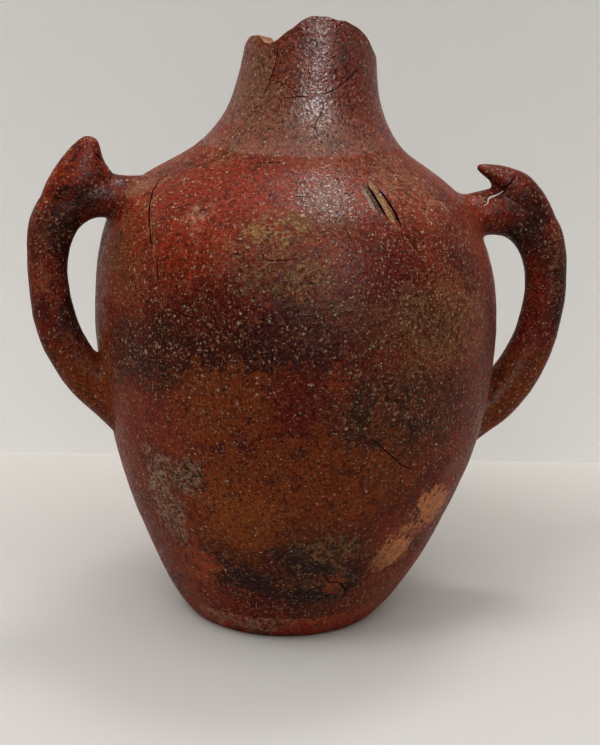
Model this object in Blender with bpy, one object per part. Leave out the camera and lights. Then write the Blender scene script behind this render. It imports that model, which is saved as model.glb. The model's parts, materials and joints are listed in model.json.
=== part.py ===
"""Two-handled, coil-built pottery jar with a broken neck, at real size, in metres.

The jar is taken apart along the joints a potter makes: a foot slab, coils of clay stacked and luted at
bevelled edges, two handles pressed on with a roll of clay round each root, and a spur on each handle.
Origin at the centre of the underside, +Z up, -Y the front, handles to the left (-X) and right (+X).
"""

import math

import bmesh
import bpy
from mathutils import Matrix, Vector

MM = 0.001

# Turned wall, from the foot to the lip: each point's rise above the one before, and how far the wall
# spreads out or draws in on the way
FOOT_RADIUS = 59.0 * MM
HEEL_RISE = 16.0 * MM
HEEL_SPREAD = 11.5 * MM
LOWER_WALL_RISE = 34.0 * MM
LOWER_WALL_SPREAD = 16.5 * MM
FLANK_RISE = 48.0 * MM
FLANK_SPREAD = 19.0 * MM
BELLY_RISE = 62.0 * MM
BELLY_SPREAD = 10.8 * MM
UPPER_BELLY_RISE = 40.0 * MM
UPPER_BELLY_DRAW = 0.6 * MM
SHOULDER_RISE = 36.0 * MM
SHOULDER_DRAW = 7.2 * MM
SHOULDER_EDGE_RISE = 20.0 * MM
SHOULDER_EDGE_DRAW = 11.0 * MM
NECK_ROOT_RISE = 23.5 * MM
NECK_ROOT_DRAW = 37.3 * MM
NECK_WAIST_RISE = 23.5 * MM
NECK_WAIST_DRAW = 16.3 * MM
NECK_RISE = 29.0 * MM
NECK_DRAW = 5.6 * MM
LIP_RISE = 28.0 * MM
LIP_DRAW = 2.8 * MM

# Hand-made lean: how far the wall's centre stands to the right of the foot's, up the jar
FLANK_LEAN = 6.5 * MM
BELLY_LEAN = 6.0 * MM
SHOULDER_LEAN = 1.6 * MM
NECK_LEAN = 8.0 * MM
LIP_LEAN = 10.0 * MM

# Clay thickness and the bevelled joints between coils
WALL_THICKNESS = 10.0 * MM
FOOT_THICKNESS = 12.0 * MM
FOOT_EDGE_ROUND = 1.5 * MM
JOINT_BEVEL = 5.0 * MM
JOINT_GAP = 0.35 * MM
NECK_JOINT_RISE = 3.5 * MM
NECK_CRACK_RISE = 11.0 * MM
WALL_COILS = 9

# Broken lip: how far the break drops below the whole lip, how much of that it rises again, and that
# second rise at each bearing as a share
BREAK_DROP = 27.0 * MM
BREAK_RISE = 25.5 * MM
BREAK_SLANT = 2.5 * MM
BREAK_BEARINGS = (
    0, 30, 60, 100, 140, 165, 187.5, 195, 202.5, 217.5, 225, 232.5, 240, 247.5, 255, 262.5, 270, 285, 300,
    315, 322.5, 330, 337.5, 345,
)
BREAK_RISE_SHARES = (
    0.0, 0.04, 0.16, 0.30, 0.16, 0.18, 0.25, 0.42, 0.51, 0.54, 0.41, 0.41, 0.51, 0.67, 0.77, 0.94, 1.0, 1.0,
    0.92, 0.79, 0.70, 0.57, 0.35, 0.21,
)

# Handles: both stand in one plane through the axis, turned a little out of the jar's width. Each top is set
# by the edge of the shoulder, and each reach by the belly
HANDLE_PLANE_TURN = math.radians(12)
HANDLE_CENTRE = 7.5 * MM
HANDLE_SINK = 16.8 * MM
LEFT_TOP_RISE = 2.0 * MM
LEFT_SPAN = 126.0 * MM
LEFT_STAND_OFF = 31.2 * MM
LEFT_THICKNESS = 23.5 * MM
RIGHT_TOP_DROP = 12.5 * MM
RIGHT_SPAN = 125.5 * MM
RIGHT_STAND_OFF = 35.6 * MM
RIGHT_THICKNESS = 25.3 * MM
HANDLE_WIDTH = 27.0 * MM
# Each handle's bow from inside the wall at its upper root to inside the wall at its lower: share of the
# way out to the reach, share of the span
LEFT_HANDLE_PATH_SHARES = (
    (-0.34, 0.935), (-0.12, 0.95), (0.10, 0.965), (0.45, 0.99), (0.85, 0.92), (1.0, 0.63), (0.836, 0.30),
    (0.585, 0.153), (0.08, 0.0), (-0.40, -0.02),
)
RIGHT_HANDLE_PATH_SHARES = (
    (-0.34, 0.935), (-0.12, 0.95), (0.10, 0.965), (0.45, 0.99), (0.83, 0.90), (1.0, 0.62), (0.85, 0.28),
    (0.61, 0.125), (0.10, -0.03), (-0.40, -0.03),
)
HANDLE_THICKNESS_SHARES = (1.15, 1.15, 1.02, 1.20, 1.25, 1.0, 1.07, 1.22, 1.62, 1.35)
HANDLE_WIDTH_SHARES = (1.30, 1.30, 1.15, 1.02, 1.0, 1.0, 1.0, 1.12, 1.45, 1.45)

# Spurs on the handles' crowns: each is a run of points in the handle's plane, as shares of its rise, out
# from its own line and up from the handle's top, with a radius at each point
LEFT_SPUR_INSET = 23.0 * MM
LEFT_SPUR_RISE = 29.5 * MM
LEFT_SPUR_RADIUS = 13.6 * MM
LEFT_SPUR_PATH_SHARES = ((0.19, 0.15), (0.085, 0.45), (0.0, 0.72), (-0.05, 0.90), (-0.076, 1.0))
LEFT_SPUR_RADIUS_SHARES = (1.0, 0.93, 0.70, 0.46, 0.18)
RIGHT_SPUR_INSET = 23.6 * MM
RIGHT_SPUR_RISE = 24.0 * MM
RIGHT_SPUR_RADIUS = 12.5 * MM
RIGHT_SPUR_PATH_SHARES = ((0.295, 0.23), (0.054, 0.55), (-0.295, 0.775), (-0.644, 0.935), (-0.90, 1.0))
RIGHT_SPUR_RADIUS_SHARES = (1.0, 0.78, 0.46, 0.24, 0.07)
SPUR_WIDTH_SHARE = 0.85

# Roll of clay pressed round each handle root, and the restorer's fill at the right root
COLLAR_RISE = 5.5 * MM
COLLAR_SPREAD = 6.0 * MM
FILL_LENGTH = 10.5 * MM
FILL_THICKNESS = 7.0 * MM
FILL_INSET = 38.9 * MM
FILL_SIDE_INSET = 3.5 * MM
FILL_ABOVE = 6.0 * MM
FILL_TILT = math.radians(-25)

# Clearance between a pressed-on piece and its seat, and how close points count as one
SEAT_GAP = 0.3 * MM
WELD_DISTANCE = 0.03 * MM

# Fineness of the facets, and the angle past which an edge is shaded sharp
SHARP_ANGLE = math.radians(40)
RING_SIDES = 48
COIL_ROWS = 3
CURVE_STEPS = 12
HANDLE_SIDES = 14
HANDLE_RINGS = 33
SPUR_RINGS = 7
COLLAR_SIDES = 20
COLLAR_ROWS = 12

# Heights and radii that follow from the sizes above
HEEL_RADIUS = FOOT_RADIUS + HEEL_SPREAD
LOWER_WALL_HEIGHT = HEEL_RISE + LOWER_WALL_RISE
LOWER_WALL_RADIUS = HEEL_RADIUS + LOWER_WALL_SPREAD
FLANK_HEIGHT = LOWER_WALL_HEIGHT + FLANK_RISE
FLANK_RADIUS = LOWER_WALL_RADIUS + FLANK_SPREAD
BELLY_HEIGHT = FLANK_HEIGHT + BELLY_RISE
BELLY_RADIUS = FLANK_RADIUS + BELLY_SPREAD
UPPER_BELLY_HEIGHT = BELLY_HEIGHT + UPPER_BELLY_RISE
UPPER_BELLY_RADIUS = BELLY_RADIUS - UPPER_BELLY_DRAW
SHOULDER_HEIGHT = UPPER_BELLY_HEIGHT + SHOULDER_RISE
SHOULDER_RADIUS = UPPER_BELLY_RADIUS - SHOULDER_DRAW
SHOULDER_EDGE_HEIGHT = SHOULDER_HEIGHT + SHOULDER_EDGE_RISE
SHOULDER_EDGE_RADIUS = SHOULDER_RADIUS - SHOULDER_EDGE_DRAW
NECK_ROOT_HEIGHT = SHOULDER_EDGE_HEIGHT + NECK_ROOT_RISE
NECK_ROOT_RADIUS = SHOULDER_EDGE_RADIUS - NECK_ROOT_DRAW
NECK_WAIST_HEIGHT = NECK_ROOT_HEIGHT + NECK_WAIST_RISE
NECK_WAIST_RADIUS = NECK_ROOT_RADIUS - NECK_WAIST_DRAW
NECK_HEIGHT = NECK_WAIST_HEIGHT + NECK_RISE
NECK_RADIUS = NECK_WAIST_RADIUS - NECK_DRAW
LIP_HEIGHT = NECK_HEIGHT + LIP_RISE
LIP_RADIUS = NECK_RADIUS - LIP_DRAW
NECK_JOINT_HEIGHT = NECK_ROOT_HEIGHT + NECK_JOINT_RISE
NECK_CRACK_HEIGHT = NECK_WAIST_HEIGHT + NECK_CRACK_RISE
BREAK_LOW_HEIGHT = LIP_HEIGHT - BREAK_DROP
HANDLE_START_RADIUS = BELLY_RADIUS - HANDLE_SINK
LEFT_TOP_HEIGHT = SHOULDER_EDGE_HEIGHT + LEFT_TOP_RISE
LEFT_REACH = BELLY_RADIUS + LEFT_STAND_OFF
RIGHT_TOP_HEIGHT = SHOULDER_EDGE_HEIGHT - RIGHT_TOP_DROP
RIGHT_REACH = BELLY_RADIUS + RIGHT_STAND_OFF


def clear_scene():
    for obj in list(bpy.data.objects):
        bpy.data.objects.remove(obj, do_unlink=True)


def clay(name, colour, roughness):
    """A Principled material of one of the jar's clays."""
    material = bpy.data.materials.new(name)
    material.use_nodes = True
    shader = material.node_tree.nodes["Principled BSDF"]
    shader.inputs["Base Color"].default_value = (*colour, 1.0)
    shader.inputs["Roughness"].default_value = roughness
    shader.inputs["Metallic"].default_value = 0.0
    material.diffuse_color = (*colour, 1.0)
    return material


def smooth_curve(points, steps=CURVE_STEPS):
    """Points along a centripetal Catmull-Rom curve through the given points, of any dimension."""
    points = [Vector(point) for point in points]
    points = [2 * points[0] - points[1], *points, 2 * points[-1] - points[-2]]
    curve = []
    for before, start, end, after in zip(points, points[1:], points[2:], points[3:]):
        t0 = 0.0
        t1 = t0 + math.sqrt((start - before).length)
        t2 = t1 + math.sqrt((end - start).length)
        t3 = t2 + math.sqrt((after - end).length)
        for step in range(steps):
            t = t1 + (t2 - t1) * step / steps
            a1 = before.lerp(start, (t - t0) / (t1 - t0))
            a2 = start.lerp(end, (t - t1) / (t2 - t1))
            a3 = end.lerp(after, (t - t2) / (t3 - t2))
            b1 = a1.lerp(a2, (t - t0) / (t2 - t0))
            b2 = a2.lerp(a3, (t - t1) / (t3 - t1))
            curve.append(b1.lerp(b2, (t - t1) / (t2 - t1)))
    curve.append(points[-2])
    return curve


def value_at(pairs, place):
    """Straight-line value between (place, value) pairs in rising order of place."""
    for (low, first), (high, second) in zip(pairs, pairs[1:]):
        if place <= high:
            return first + (second - first) * (place - low) / (high - low)
    return pairs[-1][1]


PROFILE = [
    (point.y, point.x)
    for point in smooth_curve(
        (
            (FOOT_RADIUS, 0.0),
            (HEEL_RADIUS, HEEL_RISE),
            (LOWER_WALL_RADIUS, LOWER_WALL_HEIGHT),
            (FLANK_RADIUS, FLANK_HEIGHT),
            (BELLY_RADIUS, BELLY_HEIGHT),
            (UPPER_BELLY_RADIUS, UPPER_BELLY_HEIGHT),
            (SHOULDER_RADIUS, SHOULDER_HEIGHT),
            (SHOULDER_EDGE_RADIUS, SHOULDER_EDGE_HEIGHT),
            (NECK_ROOT_RADIUS, NECK_ROOT_HEIGHT),
            (NECK_WAIST_RADIUS, NECK_WAIST_HEIGHT),
            (NECK_RADIUS, NECK_HEIGHT),
            (LIP_RADIUS, LIP_HEIGHT),
        )
    )
]

LEAN = [
    (point.y, point.x)
    for point in smooth_curve(
        (
            (0.0, 0.0),
            (FLANK_LEAN, FLANK_HEIGHT),
            (BELLY_LEAN, BELLY_HEIGHT),
            (SHOULDER_LEAN, SHOULDER_EDGE_HEIGHT),
            (NECK_LEAN, NECK_WAIST_HEIGHT),
            (LIP_LEAN, LIP_HEIGHT),
        )
    )
]


def radius_at(height):
    return value_at(PROFILE, height)


def lean_at(height):
    return value_at(LEAN, height)


def wall_point(height, depth):
    """(radius, height) of the point that lies square under the outside surface at a height, depth deep."""
    step = LIP_HEIGHT / len(PROFILE)
    low = max(height - step, 0.0)
    high = min(height + step, LIP_HEIGHT)
    slope = (radius_at(high) - radius_at(low)) / (high - low)
    length = math.hypot(1.0, slope)
    return radius_at(height) - depth / length, height + depth * slope / length


def coil_edges(bottom, top, count):
    """Heights that split the outside surface into strips of one length along the profile."""
    run = [0.0]
    for (low, first), (high, second) in zip(PROFILE, PROFILE[1:]):
        run.append(run[-1] + math.hypot(high - low, second - first))
    heights = [height for height, _ in PROFILE]
    along = list(zip(heights, run))
    back = list(zip(run, heights))
    start = value_at(along, bottom)
    length = value_at(along, top) - start
    return [value_at(back, start + length * number / count) for number in range(count + 1)]


def strip(bottom, top, rows):
    """Heights from bottom to top in even rows."""
    return [bottom + (top - bottom) * row / rows for row in range(rows + 1)]


def joint_rise(height):
    """How much higher a joint's inner edge lies than square: full on upright wall, less on the shoulder."""
    return JOINT_BEVEL * min(1.0, radius_at(height) / BELLY_RADIUS)


def coil_outline(bottom, top):
    """Closed outline of one coil: up its outside, over the bevelled joint and down its inside."""
    low = bottom + JOINT_GAP / 2
    high = top - JOINT_GAP / 2
    outside = [wall_point(height, 0.0) for height in strip(low, high, COIL_ROWS)]
    inside_heights = strip(low, high, COIL_ROWS - 1)
    inside = [wall_point(height, WALL_THICKNESS) for height in inside_heights]
    inside = [(radius, height + joint_rise(height)) for radius, height in inside]
    return outside + inside[::-1]


def new_object(name, mesh_data, material):
    mesh = bpy.data.meshes.new(name)
    bmesh.ops.recalc_face_normals(mesh_data, faces=mesh_data.faces)
    mesh_data.to_mesh(mesh)
    mesh_data.free()
    mesh.shade_smooth()
    mesh.set_sharp_from_angle(angle=SHARP_ANGLE)
    obj = bpy.data.objects.new(name, mesh)
    bpy.context.scene.collection.objects.link(obj)
    if material:
        mesh.materials.append(material)
    return obj


def turned(outline, closed):
    """bmesh of an outline of (radius, height) points spun round the jar's axis, then leant by hand."""
    spun = bmesh.new()
    verts = [spun.verts.new((radius, 0.0, height)) for radius, height in outline]
    edges = [spun.edges.new(pair) for pair in zip(verts, verts[1:])]
    if closed:
        edges.append(spun.edges.new((verts[-1], verts[0])))
    bmesh.ops.spin(
        spun,
        geom=verts + edges,
        cent=(0.0, 0.0, 0.0),
        axis=(0.0, 0.0, 1.0),
        angle=math.tau,
        steps=RING_SIDES,
        use_merge=True,
    )
    bmesh.ops.remove_doubles(spun, verts=spun.verts, dist=WELD_DISTANCE)
    for vert in spun.verts:
        vert.co.x += lean_at(vert.co.z)
    return spun


def helper(obj):
    """Marks an object as a cutter, which is no part of the jar."""
    obj.hide_render = True
    obj.display_type = "WIRE"
    return obj


def cut(obj, *cutters):
    for cutter in cutters:
        modifier = obj.modifiers.new("Cut by " + cutter.name, "BOOLEAN")
        modifier.operation = "DIFFERENCE"
        modifier.solver = "EXACT"
        modifier.object = cutter


def add_foot(material):
    """Foot slab: its edge follows the heel, and its rim is bevelled to carry the first coil."""
    high = HEEL_RISE - JOINT_GAP / 2
    rim = [wall_point(height, 0.0) for height in strip(FOOT_EDGE_ROUND, high, COIL_ROWS)]
    inner_radius, inner_height = wall_point(high, WALL_THICKNESS)
    inner_height += joint_rise(high)
    floor_radius = inner_radius - (inner_height - FOOT_THICKNESS)
    outline = [
        (0.0, 0.0),
        (FOOT_RADIUS - FOOT_EDGE_ROUND / 2, 0.0),
        *rim,
        (inner_radius, inner_height),
        (floor_radius, FOOT_THICKNESS),
        (0.0, FOOT_THICKNESS),
    ]
    return new_object("foot_disc", turned(outline, closed=False), material)


def add_wall_coils(material):
    edges = coil_edges(HEEL_RISE, NECK_JOINT_HEIGHT, WALL_COILS)
    for number, (bottom, top) in enumerate(zip(edges, edges[1:]), start=1):
        new_object(f"wall_coil_{number}", turned(coil_outline(bottom, top), closed=True), material)


def break_rise_at(bearing):
    """Share of the break's rise at a bearing in degrees, smooth round the whole lip."""
    places = [*BREAK_BEARINGS, BREAK_BEARINGS[0] + 360]
    shares = [*BREAK_RISE_SHARES, BREAK_RISE_SHARES[0]]
    for (low, first), (high, second) in zip(zip(places, shares), zip(places[1:], shares[1:])):
        if bearing <= high:
            blend = (bearing - low) / (high - low)
            blend = blend * blend * (3 - 2 * blend)
            return first + (second - first) * blend
    return shares[-1]


def add_neck(material):
    """Two neck coils: a whole one, and the broken one, whose top is drawn to the height of the break."""
    lower = turned(coil_outline(NECK_JOINT_HEIGHT, NECK_CRACK_HEIGHT), closed=True)
    new_object("neck_coil", lower, material)

    bottom = NECK_CRACK_HEIGHT + JOINT_GAP / 2
    heights = strip(bottom, LIP_HEIGHT, COIL_ROWS)
    outside = [wall_point(height, 0.0) for height in heights]
    inside = [wall_point(height, WALL_THICKNESS) for height in heights[:-1]]
    inside = [(radius, height + joint_rise(height)) for radius, height in inside]
    inside.append((wall_point(LIP_HEIGHT, WALL_THICKNESS)[0], LIP_HEIGHT))
    broken = turned(outside + inside[::-1], closed=True)
    inner_bottom = bottom + joint_rise(bottom)
    for vert in broken.verts:
        bearing = math.degrees(math.atan2(vert.co.y, vert.co.x - lean_at(vert.co.z))) % 360
        lip = BREAK_LOW_HEIGHT + BREAK_RISE * break_rise_at(bearing)
        across = math.hypot(vert.co.y, vert.co.x - lean_at(vert.co.z))
        on_inside = across < radius_at(vert.co.z) - WALL_THICKNESS / 2
        base = inner_bottom if on_inside else bottom
        if on_inside:
            lip -= BREAK_SLANT
        if vert.co.z > base:
            vert.co.z = base + (vert.co.z - base) * (lip - base) / (LIP_HEIGHT - base)
    new_object("broken_neck", broken, material)


def add_wall_cutter():
    """The jar's outside filled solid and grown by the seat gap, to trim what is pressed on to the wall."""
    edges = [HEEL_RISE, *coil_edges(HEEL_RISE, NECK_JOINT_HEIGHT, WALL_COILS)[1:]]
    heights = []
    for bottom, top in zip(edges, edges[1:]):
        heights += strip(bottom + JOINT_GAP / 2, top - JOINT_GAP / 2, COIL_ROWS)
    outline = [(0.0, heights[0])]
    outline += [wall_point(height, -SEAT_GAP) for height in heights]
    outline.append((0.0, heights[-1]))
    return helper(new_object("wall_cutter", turned(outline, closed=False), None))


def plane_frame(side):
    """Unit vectors out along a handle's plane and square to it. Side is -1 for left and +1 for right."""
    out = Vector((side * math.cos(HANDLE_PLANE_TURN), side * math.sin(HANDLE_PLANE_TURN), 0.0))
    return out, Vector((0.0, 0.0, 1.0)).cross(out)


def swept(centres, depths, widths, across, sides):
    """bmesh of a bar along points in one plane: depths lie in the plane and widths square to it."""
    bar = bmesh.new()
    rings = []
    for number, centre in enumerate(centres):
        before = centres[max(number - 1, 0)]
        after = centres[min(number + 1, len(centres) - 1)]
        inward = across.cross((after - before).normalized())
        ring = []
        for side in range(sides):
            angle = math.tau * side / sides
            place = centre + inward * (depths[number] * math.cos(angle))
            ring.append(bar.verts.new(place + across * (widths[number] * math.sin(angle))))
        rings.append(ring)
    for ring, following in zip(rings, rings[1:]):
        for side in range(sides):
            after = (side + 1) % sides
            bar.faces.new((ring[side], ring[after], following[after], following[side]))
    bar.faces.new(rings[0][::-1])
    bar.faces.new(rings[-1])
    return bar


def even_rings(table, count):
    """Rows of a table of smooth values, re-read at an even spacing along their first three columns."""
    curve = smooth_table(table)
    run = [0.0]
    for first, second in zip(curve, curve[1:]):
        run.append(run[-1] + (Vector(second[:3]) - Vector(first[:3])).length)
    columns = [list(zip(run, column)) for column in zip(*curve)]
    places = [run[-1] * number / (count - 1) for number in range(count)]
    return [[value_at(column, place) for column in columns] for place in places]


def smooth_table(table):
    """Smooth curve through rows of (x, y, z, depth, width)."""
    centres = smooth_curve([row[:3] for row in table])
    rows = []
    for number, centre in enumerate(centres):
        place = number / CURVE_STEPS
        first = min(int(place), len(table) - 2)
        blend = place - first
        blend = blend * blend * (3 - 2 * blend)
        sizes = [low + (high - low) * blend for low, high in zip(table[first][3:], table[first + 1][3:])]
        rows.append((*centre, *sizes))
    return rows


def handle_rows(side, top, span, reach, thickness, path_shares, grow):
    """(x, y, z, depth, width) down one handle, with its half sizes grown by a gap for a cutter."""
    out, _ = plane_frame(side)
    table = []
    for (out_share, up_share), deep, wide in zip(
        path_shares, HANDLE_THICKNESS_SHARES, HANDLE_WIDTH_SHARES
    ):
        centre = out * (HANDLE_START_RADIUS + (reach - HANDLE_START_RADIUS) * out_share)
        centre.x += HANDLE_CENTRE
        centre.z = top - span * (1 - up_share)
        table.append((*centre, thickness * deep / 2 + grow, HANDLE_WIDTH * wide / 2 + grow))
    return even_rings(table, HANDLE_RINGS)


def bar_from_rows(name, rows, side, sides, material):
    _, across = plane_frame(side)
    centres = [Vector(row[:3]) for row in rows]
    depths = [row[3] for row in rows]
    widths = [row[4] for row in rows]
    return new_object(name, swept(centres, depths, widths, across, sides), material)


def add_spur(name, side, top, line, rise, radius, path_shares, radius_shares, material):
    """A spur: a tapered bar in the handle's plane that starts inside the handle and ends at its tip."""
    out, _ = plane_frame(side)
    table = []
    for (out_share, rise_share), radius_share in zip(path_shares, radius_shares):
        centre = out * (line + rise * out_share)
        centre.x += HANDLE_CENTRE
        centre.z = top + rise * rise_share
        half = radius * radius_share
        table.append((*centre, half, half * SPUR_WIDTH_SHARE))
    return bar_from_rows(name, even_rings(table, SPUR_RINGS), side, HANDLE_SIDES, material)


def wall_crossings(line):
    """Where a line of points passes through the outside of the wall, in order along the line."""
    found = []
    for first, second in zip(line, line[1:]):
        gaps = [math.hypot(at.x - lean_at(at.z), at.y) - radius_at(at.z) for at in (first, second)]
        if (gaps[0] < 0) != (gaps[1] < 0):
            found.append(first.lerp(second, gaps[0] / (gaps[0] - gaps[1])))
    return found


def root_marks(rows, side):
    """Middle, half length and half width of the mark a handle leaves on the wall at its top and bottom."""
    _, across = plane_frame(side)
    centres = [Vector(row[:3]) for row in rows]
    upper_line = []
    lower_line = []
    for number, row in enumerate(rows):
        before = centres[max(number - 1, 0)]
        after = centres[min(number + 1, len(centres) - 1)]
        inward = across.cross((after - before).normalized())
        upper_line.append(centres[number] + inward * row[3])
        lower_line.append(centres[number] - inward * row[3])
    ends = (wall_crossings(upper_line), wall_crossings(lower_line))
    marks = []
    for place in (0, -1):
        first, second = (end[place] for end in ends)
        middle = (first + second) / 2
        nearest = min(rows, key=lambda row: (Vector(row[:3]) - middle).length)
        marks.append((middle, (first - second).length / 2, nearest[4]))
    return marks


def add_collar(name, mark, grow, material):
    """Roll of clay round a handle root: a flat dome on the wall, trimmed later by the wall and handle."""
    middle, half_length, half_width = mark
    height = middle.z
    bearing = math.atan2(middle.y, middle.x - lean_at(height))
    radius, _ = wall_point(height, 0.0)
    inner_radius, inner_height = wall_point(height, WALL_THICKNESS)
    outward = Vector((radius - inner_radius, 0.0, height - inner_height)).normalized()
    turn = outward.to_track_quat("Z", "Y").to_matrix().to_4x4()
    dome = bmesh.new()
    bmesh.ops.create_uvsphere(dome, u_segments=COLLAR_SIDES, v_segments=COLLAR_ROWS, radius=1.0)
    spread = COLLAR_SPREAD + grow
    size = Matrix.Diagonal((half_width + spread, half_length + spread, COLLAR_RISE + grow, 1.0))
    place = Matrix.Translation((radius, 0.0, height))
    dome.transform(Matrix.Rotation(bearing, 4, "Z") @ place @ turn @ size)
    dome.transform(Matrix.Translation((lean_at(height), 0.0, 0.0)))
    return new_object(name, dome, material)


def add_fill(material):
    """The restorer's pale fill: a small oval bead that lies on the right handle beside its root."""
    out, across = plane_frame(1)
    centre = out * (RIGHT_REACH - FILL_INSET) - across * (HANDLE_WIDTH / 2 - FILL_SIDE_INSET)
    centre.x += HANDLE_CENTRE
    centre.z = RIGHT_TOP_HEIGHT + FILL_ABOVE
    bead = bmesh.new()
    bmesh.ops.create_uvsphere(bead, u_segments=HANDLE_SIDES, v_segments=COLLAR_ROWS, radius=1.0)
    half_length = FILL_LENGTH / 2
    half_thickness = FILL_THICKNESS / 2
    size = Matrix.Diagonal((half_length, half_thickness, half_thickness, 1.0))
    turn = Matrix.Rotation(HANDLE_PLANE_TURN, 4, "Z") @ Matrix.Rotation(FILL_TILT, 4, "Y")
    bead.transform(Matrix.Translation(centre) @ turn @ size)
    return new_object("repair_fill", bead, material)


def add_handles(slip, fill):
    wall_cutter = add_wall_cutter()
    bows = {
        "left": (LEFT_TOP_HEIGHT, LEFT_SPAN, LEFT_REACH, LEFT_THICKNESS, LEFT_HANDLE_PATH_SHARES),
        "right": (RIGHT_TOP_HEIGHT, RIGHT_SPAN, RIGHT_REACH, RIGHT_THICKNESS, RIGHT_HANDLE_PATH_SHARES),
    }
    spurs = {
        "left": (LEFT_TOP_HEIGHT, LEFT_REACH - LEFT_SPUR_INSET, LEFT_SPUR_RISE, LEFT_SPUR_RADIUS,
                 LEFT_SPUR_PATH_SHARES, LEFT_SPUR_RADIUS_SHARES),
        "right": (RIGHT_TOP_HEIGHT, RIGHT_REACH - RIGHT_SPUR_INSET, RIGHT_SPUR_RISE, RIGHT_SPUR_RADIUS,
                  RIGHT_SPUR_PATH_SHARES, RIGHT_SPUR_RADIUS_SHARES),
    }
    for name, side in (("left", -1), ("right", 1)):
        rows = handle_rows(side, *bows[name], 0.0)
        handle = bar_from_rows(f"handle_{name}", rows, side, HANDLE_SIDES, slip)
        cut(handle, wall_cutter)
        grown = handle_rows(side, *bows[name], SEAT_GAP)
        handle_cutter = helper(bar_from_rows(f"handle_{name}_cutter", grown, side, HANDLE_SIDES, None))
        spur = add_spur(f"spur_{name}", side, *spurs[name], slip)
        cut(spur, handle_cutter)
        upper, lower = root_marks(rows, side)
        upper_collar = add_collar(f"collar_{name}_upper", upper, 0.0, slip)
        lower_collar = add_collar(f"collar_{name}_lower", lower, 0.0, slip)
        for collar in (upper_collar, lower_collar):
            cut(collar, wall_cutter, handle_cutter)
        if name == "right":
            bead = add_fill(fill)
            collar_cutter = helper(add_collar("collar_cutter", upper, SEAT_GAP, None))
            cut(bead, wall_cutter, handle_cutter, collar_cutter)


def main():
    clear_scene()
    bpy.context.scene.unit_settings.system = "METRIC"
    body_clay = clay("burnished_red_slip", (0.19, 0.045, 0.022), 0.42)
    foot_clay = clay("foot_clay", (0.24, 0.07, 0.035), 0.6)
    handle_clay = clay("dark_red_slip", (0.12, 0.022, 0.014), 0.45)
    fill_clay = clay("repair_plaster", (0.62, 0.57, 0.48), 0.8)
    add_foot(foot_clay)
    add_wall_coils(body_clay)
    add_neck(body_clay)
    add_handles(handle_clay, fill_clay)


main()
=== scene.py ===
"""Looks of a two-handled, coil-built pottery jar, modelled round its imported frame.

Each coil of the wall, the broken neck, the handles with their roots, the spurs and the repair is a piece of
its own. Shapes are measured from the frame, cracks and stains are placed where the photograph shows them,
and the clay and its burnished slip are procedural.
"""

import json
import math

import bpy
from mathutils import Matrix, Vector, noise

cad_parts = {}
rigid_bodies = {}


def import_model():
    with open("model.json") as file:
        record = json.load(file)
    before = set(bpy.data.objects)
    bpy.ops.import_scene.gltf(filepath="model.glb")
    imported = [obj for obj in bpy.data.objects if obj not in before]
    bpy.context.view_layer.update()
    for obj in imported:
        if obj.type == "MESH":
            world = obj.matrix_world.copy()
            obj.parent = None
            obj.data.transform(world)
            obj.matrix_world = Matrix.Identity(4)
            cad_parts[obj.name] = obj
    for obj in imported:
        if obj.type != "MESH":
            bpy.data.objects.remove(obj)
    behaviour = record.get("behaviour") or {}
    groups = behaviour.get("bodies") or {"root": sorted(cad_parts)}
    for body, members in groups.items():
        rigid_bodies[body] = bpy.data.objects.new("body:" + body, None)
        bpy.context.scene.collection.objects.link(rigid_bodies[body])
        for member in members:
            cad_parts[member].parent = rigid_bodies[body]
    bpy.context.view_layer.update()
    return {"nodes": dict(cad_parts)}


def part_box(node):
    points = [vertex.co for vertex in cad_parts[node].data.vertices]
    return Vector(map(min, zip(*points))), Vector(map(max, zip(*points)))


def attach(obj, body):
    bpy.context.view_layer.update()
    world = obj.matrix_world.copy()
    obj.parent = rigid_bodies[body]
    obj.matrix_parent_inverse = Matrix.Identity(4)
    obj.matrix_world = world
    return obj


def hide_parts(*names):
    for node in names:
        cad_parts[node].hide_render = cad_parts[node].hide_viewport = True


bl_info = {
    "name": "Two-handled pottery jar",
    "version": (1, 0, 0),
    "blender": (4, 5, 0),
    "location": "3D View > Sidebar > Pottery jar",
    "description": "Models a coil-built, red-slipped jar with a broken neck round its packed frame",
    "category": "Add Mesh",
}

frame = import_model()

MM = 0.001
UP = Vector((0.0, 0.0, 1.0))

# The frame's solids that the wall is measured from, bottom to top
COIL_NODES = [f"wall_coil_{number}" for number in range(1, 10)]
WALL_NODES = ["foot_disc", *COIL_NODES, "neck_coil", "broken_neck"]

# The photograph's size in pixels, and the camera that took it
PHOTO_WIDTH = 600
PHOTO_HEIGHT = 745
FOCAL_PIXELS = 1700
SENSOR_MM = 36
CAMERA_PLACE = Vector((0.008, -0.977, 0.435))
CAMERA_TURN = Matrix.Rotation(math.radians(73.5), 3, "X") @ Matrix.Rotation(math.radians(1.1), 3, "Z")

# The wall's cage: points round each ring, and the spacing of its rings outside, inside and at the foot
WALL_SIDES = 80
OUTER_SPACING = 10 * MM
INNER_SPACING = 16 * MM
FOOT_SPACING = 5 * MM
# The frame is measured at these steps of height, up to just below the break. The broken neck is measured
# along a chord in front of the axis, where the break stands higher
MEASURE_STEP = 2 * MM
MEASURE_TOP = 0.344
MEASURE_CHORD = 30 * MM
# The floor inside, the heel's rounded edge, and the height at which the foot takes the full unevenness
FLOOR_TOP = 12.5 * MM
FOOT_EDGE = 1.4 * MM
FOOT_CALM = 14 * MM
# Rings: shares of the radius under the foot and on the floor, of the way up the broken neck, and across it
UNDERSIDE_SHARES = (0.3, 0.65, 0.93, 0.985)
FLOOR_SHARES = (0.95, 0.7, 0.35)
NECK_SHARES = (0.0, 0.3, 0.6, 0.85, 0.965)
LIP_SHARES = (0.0, 0.12, 0.5, 0.88, 1.0)
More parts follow.
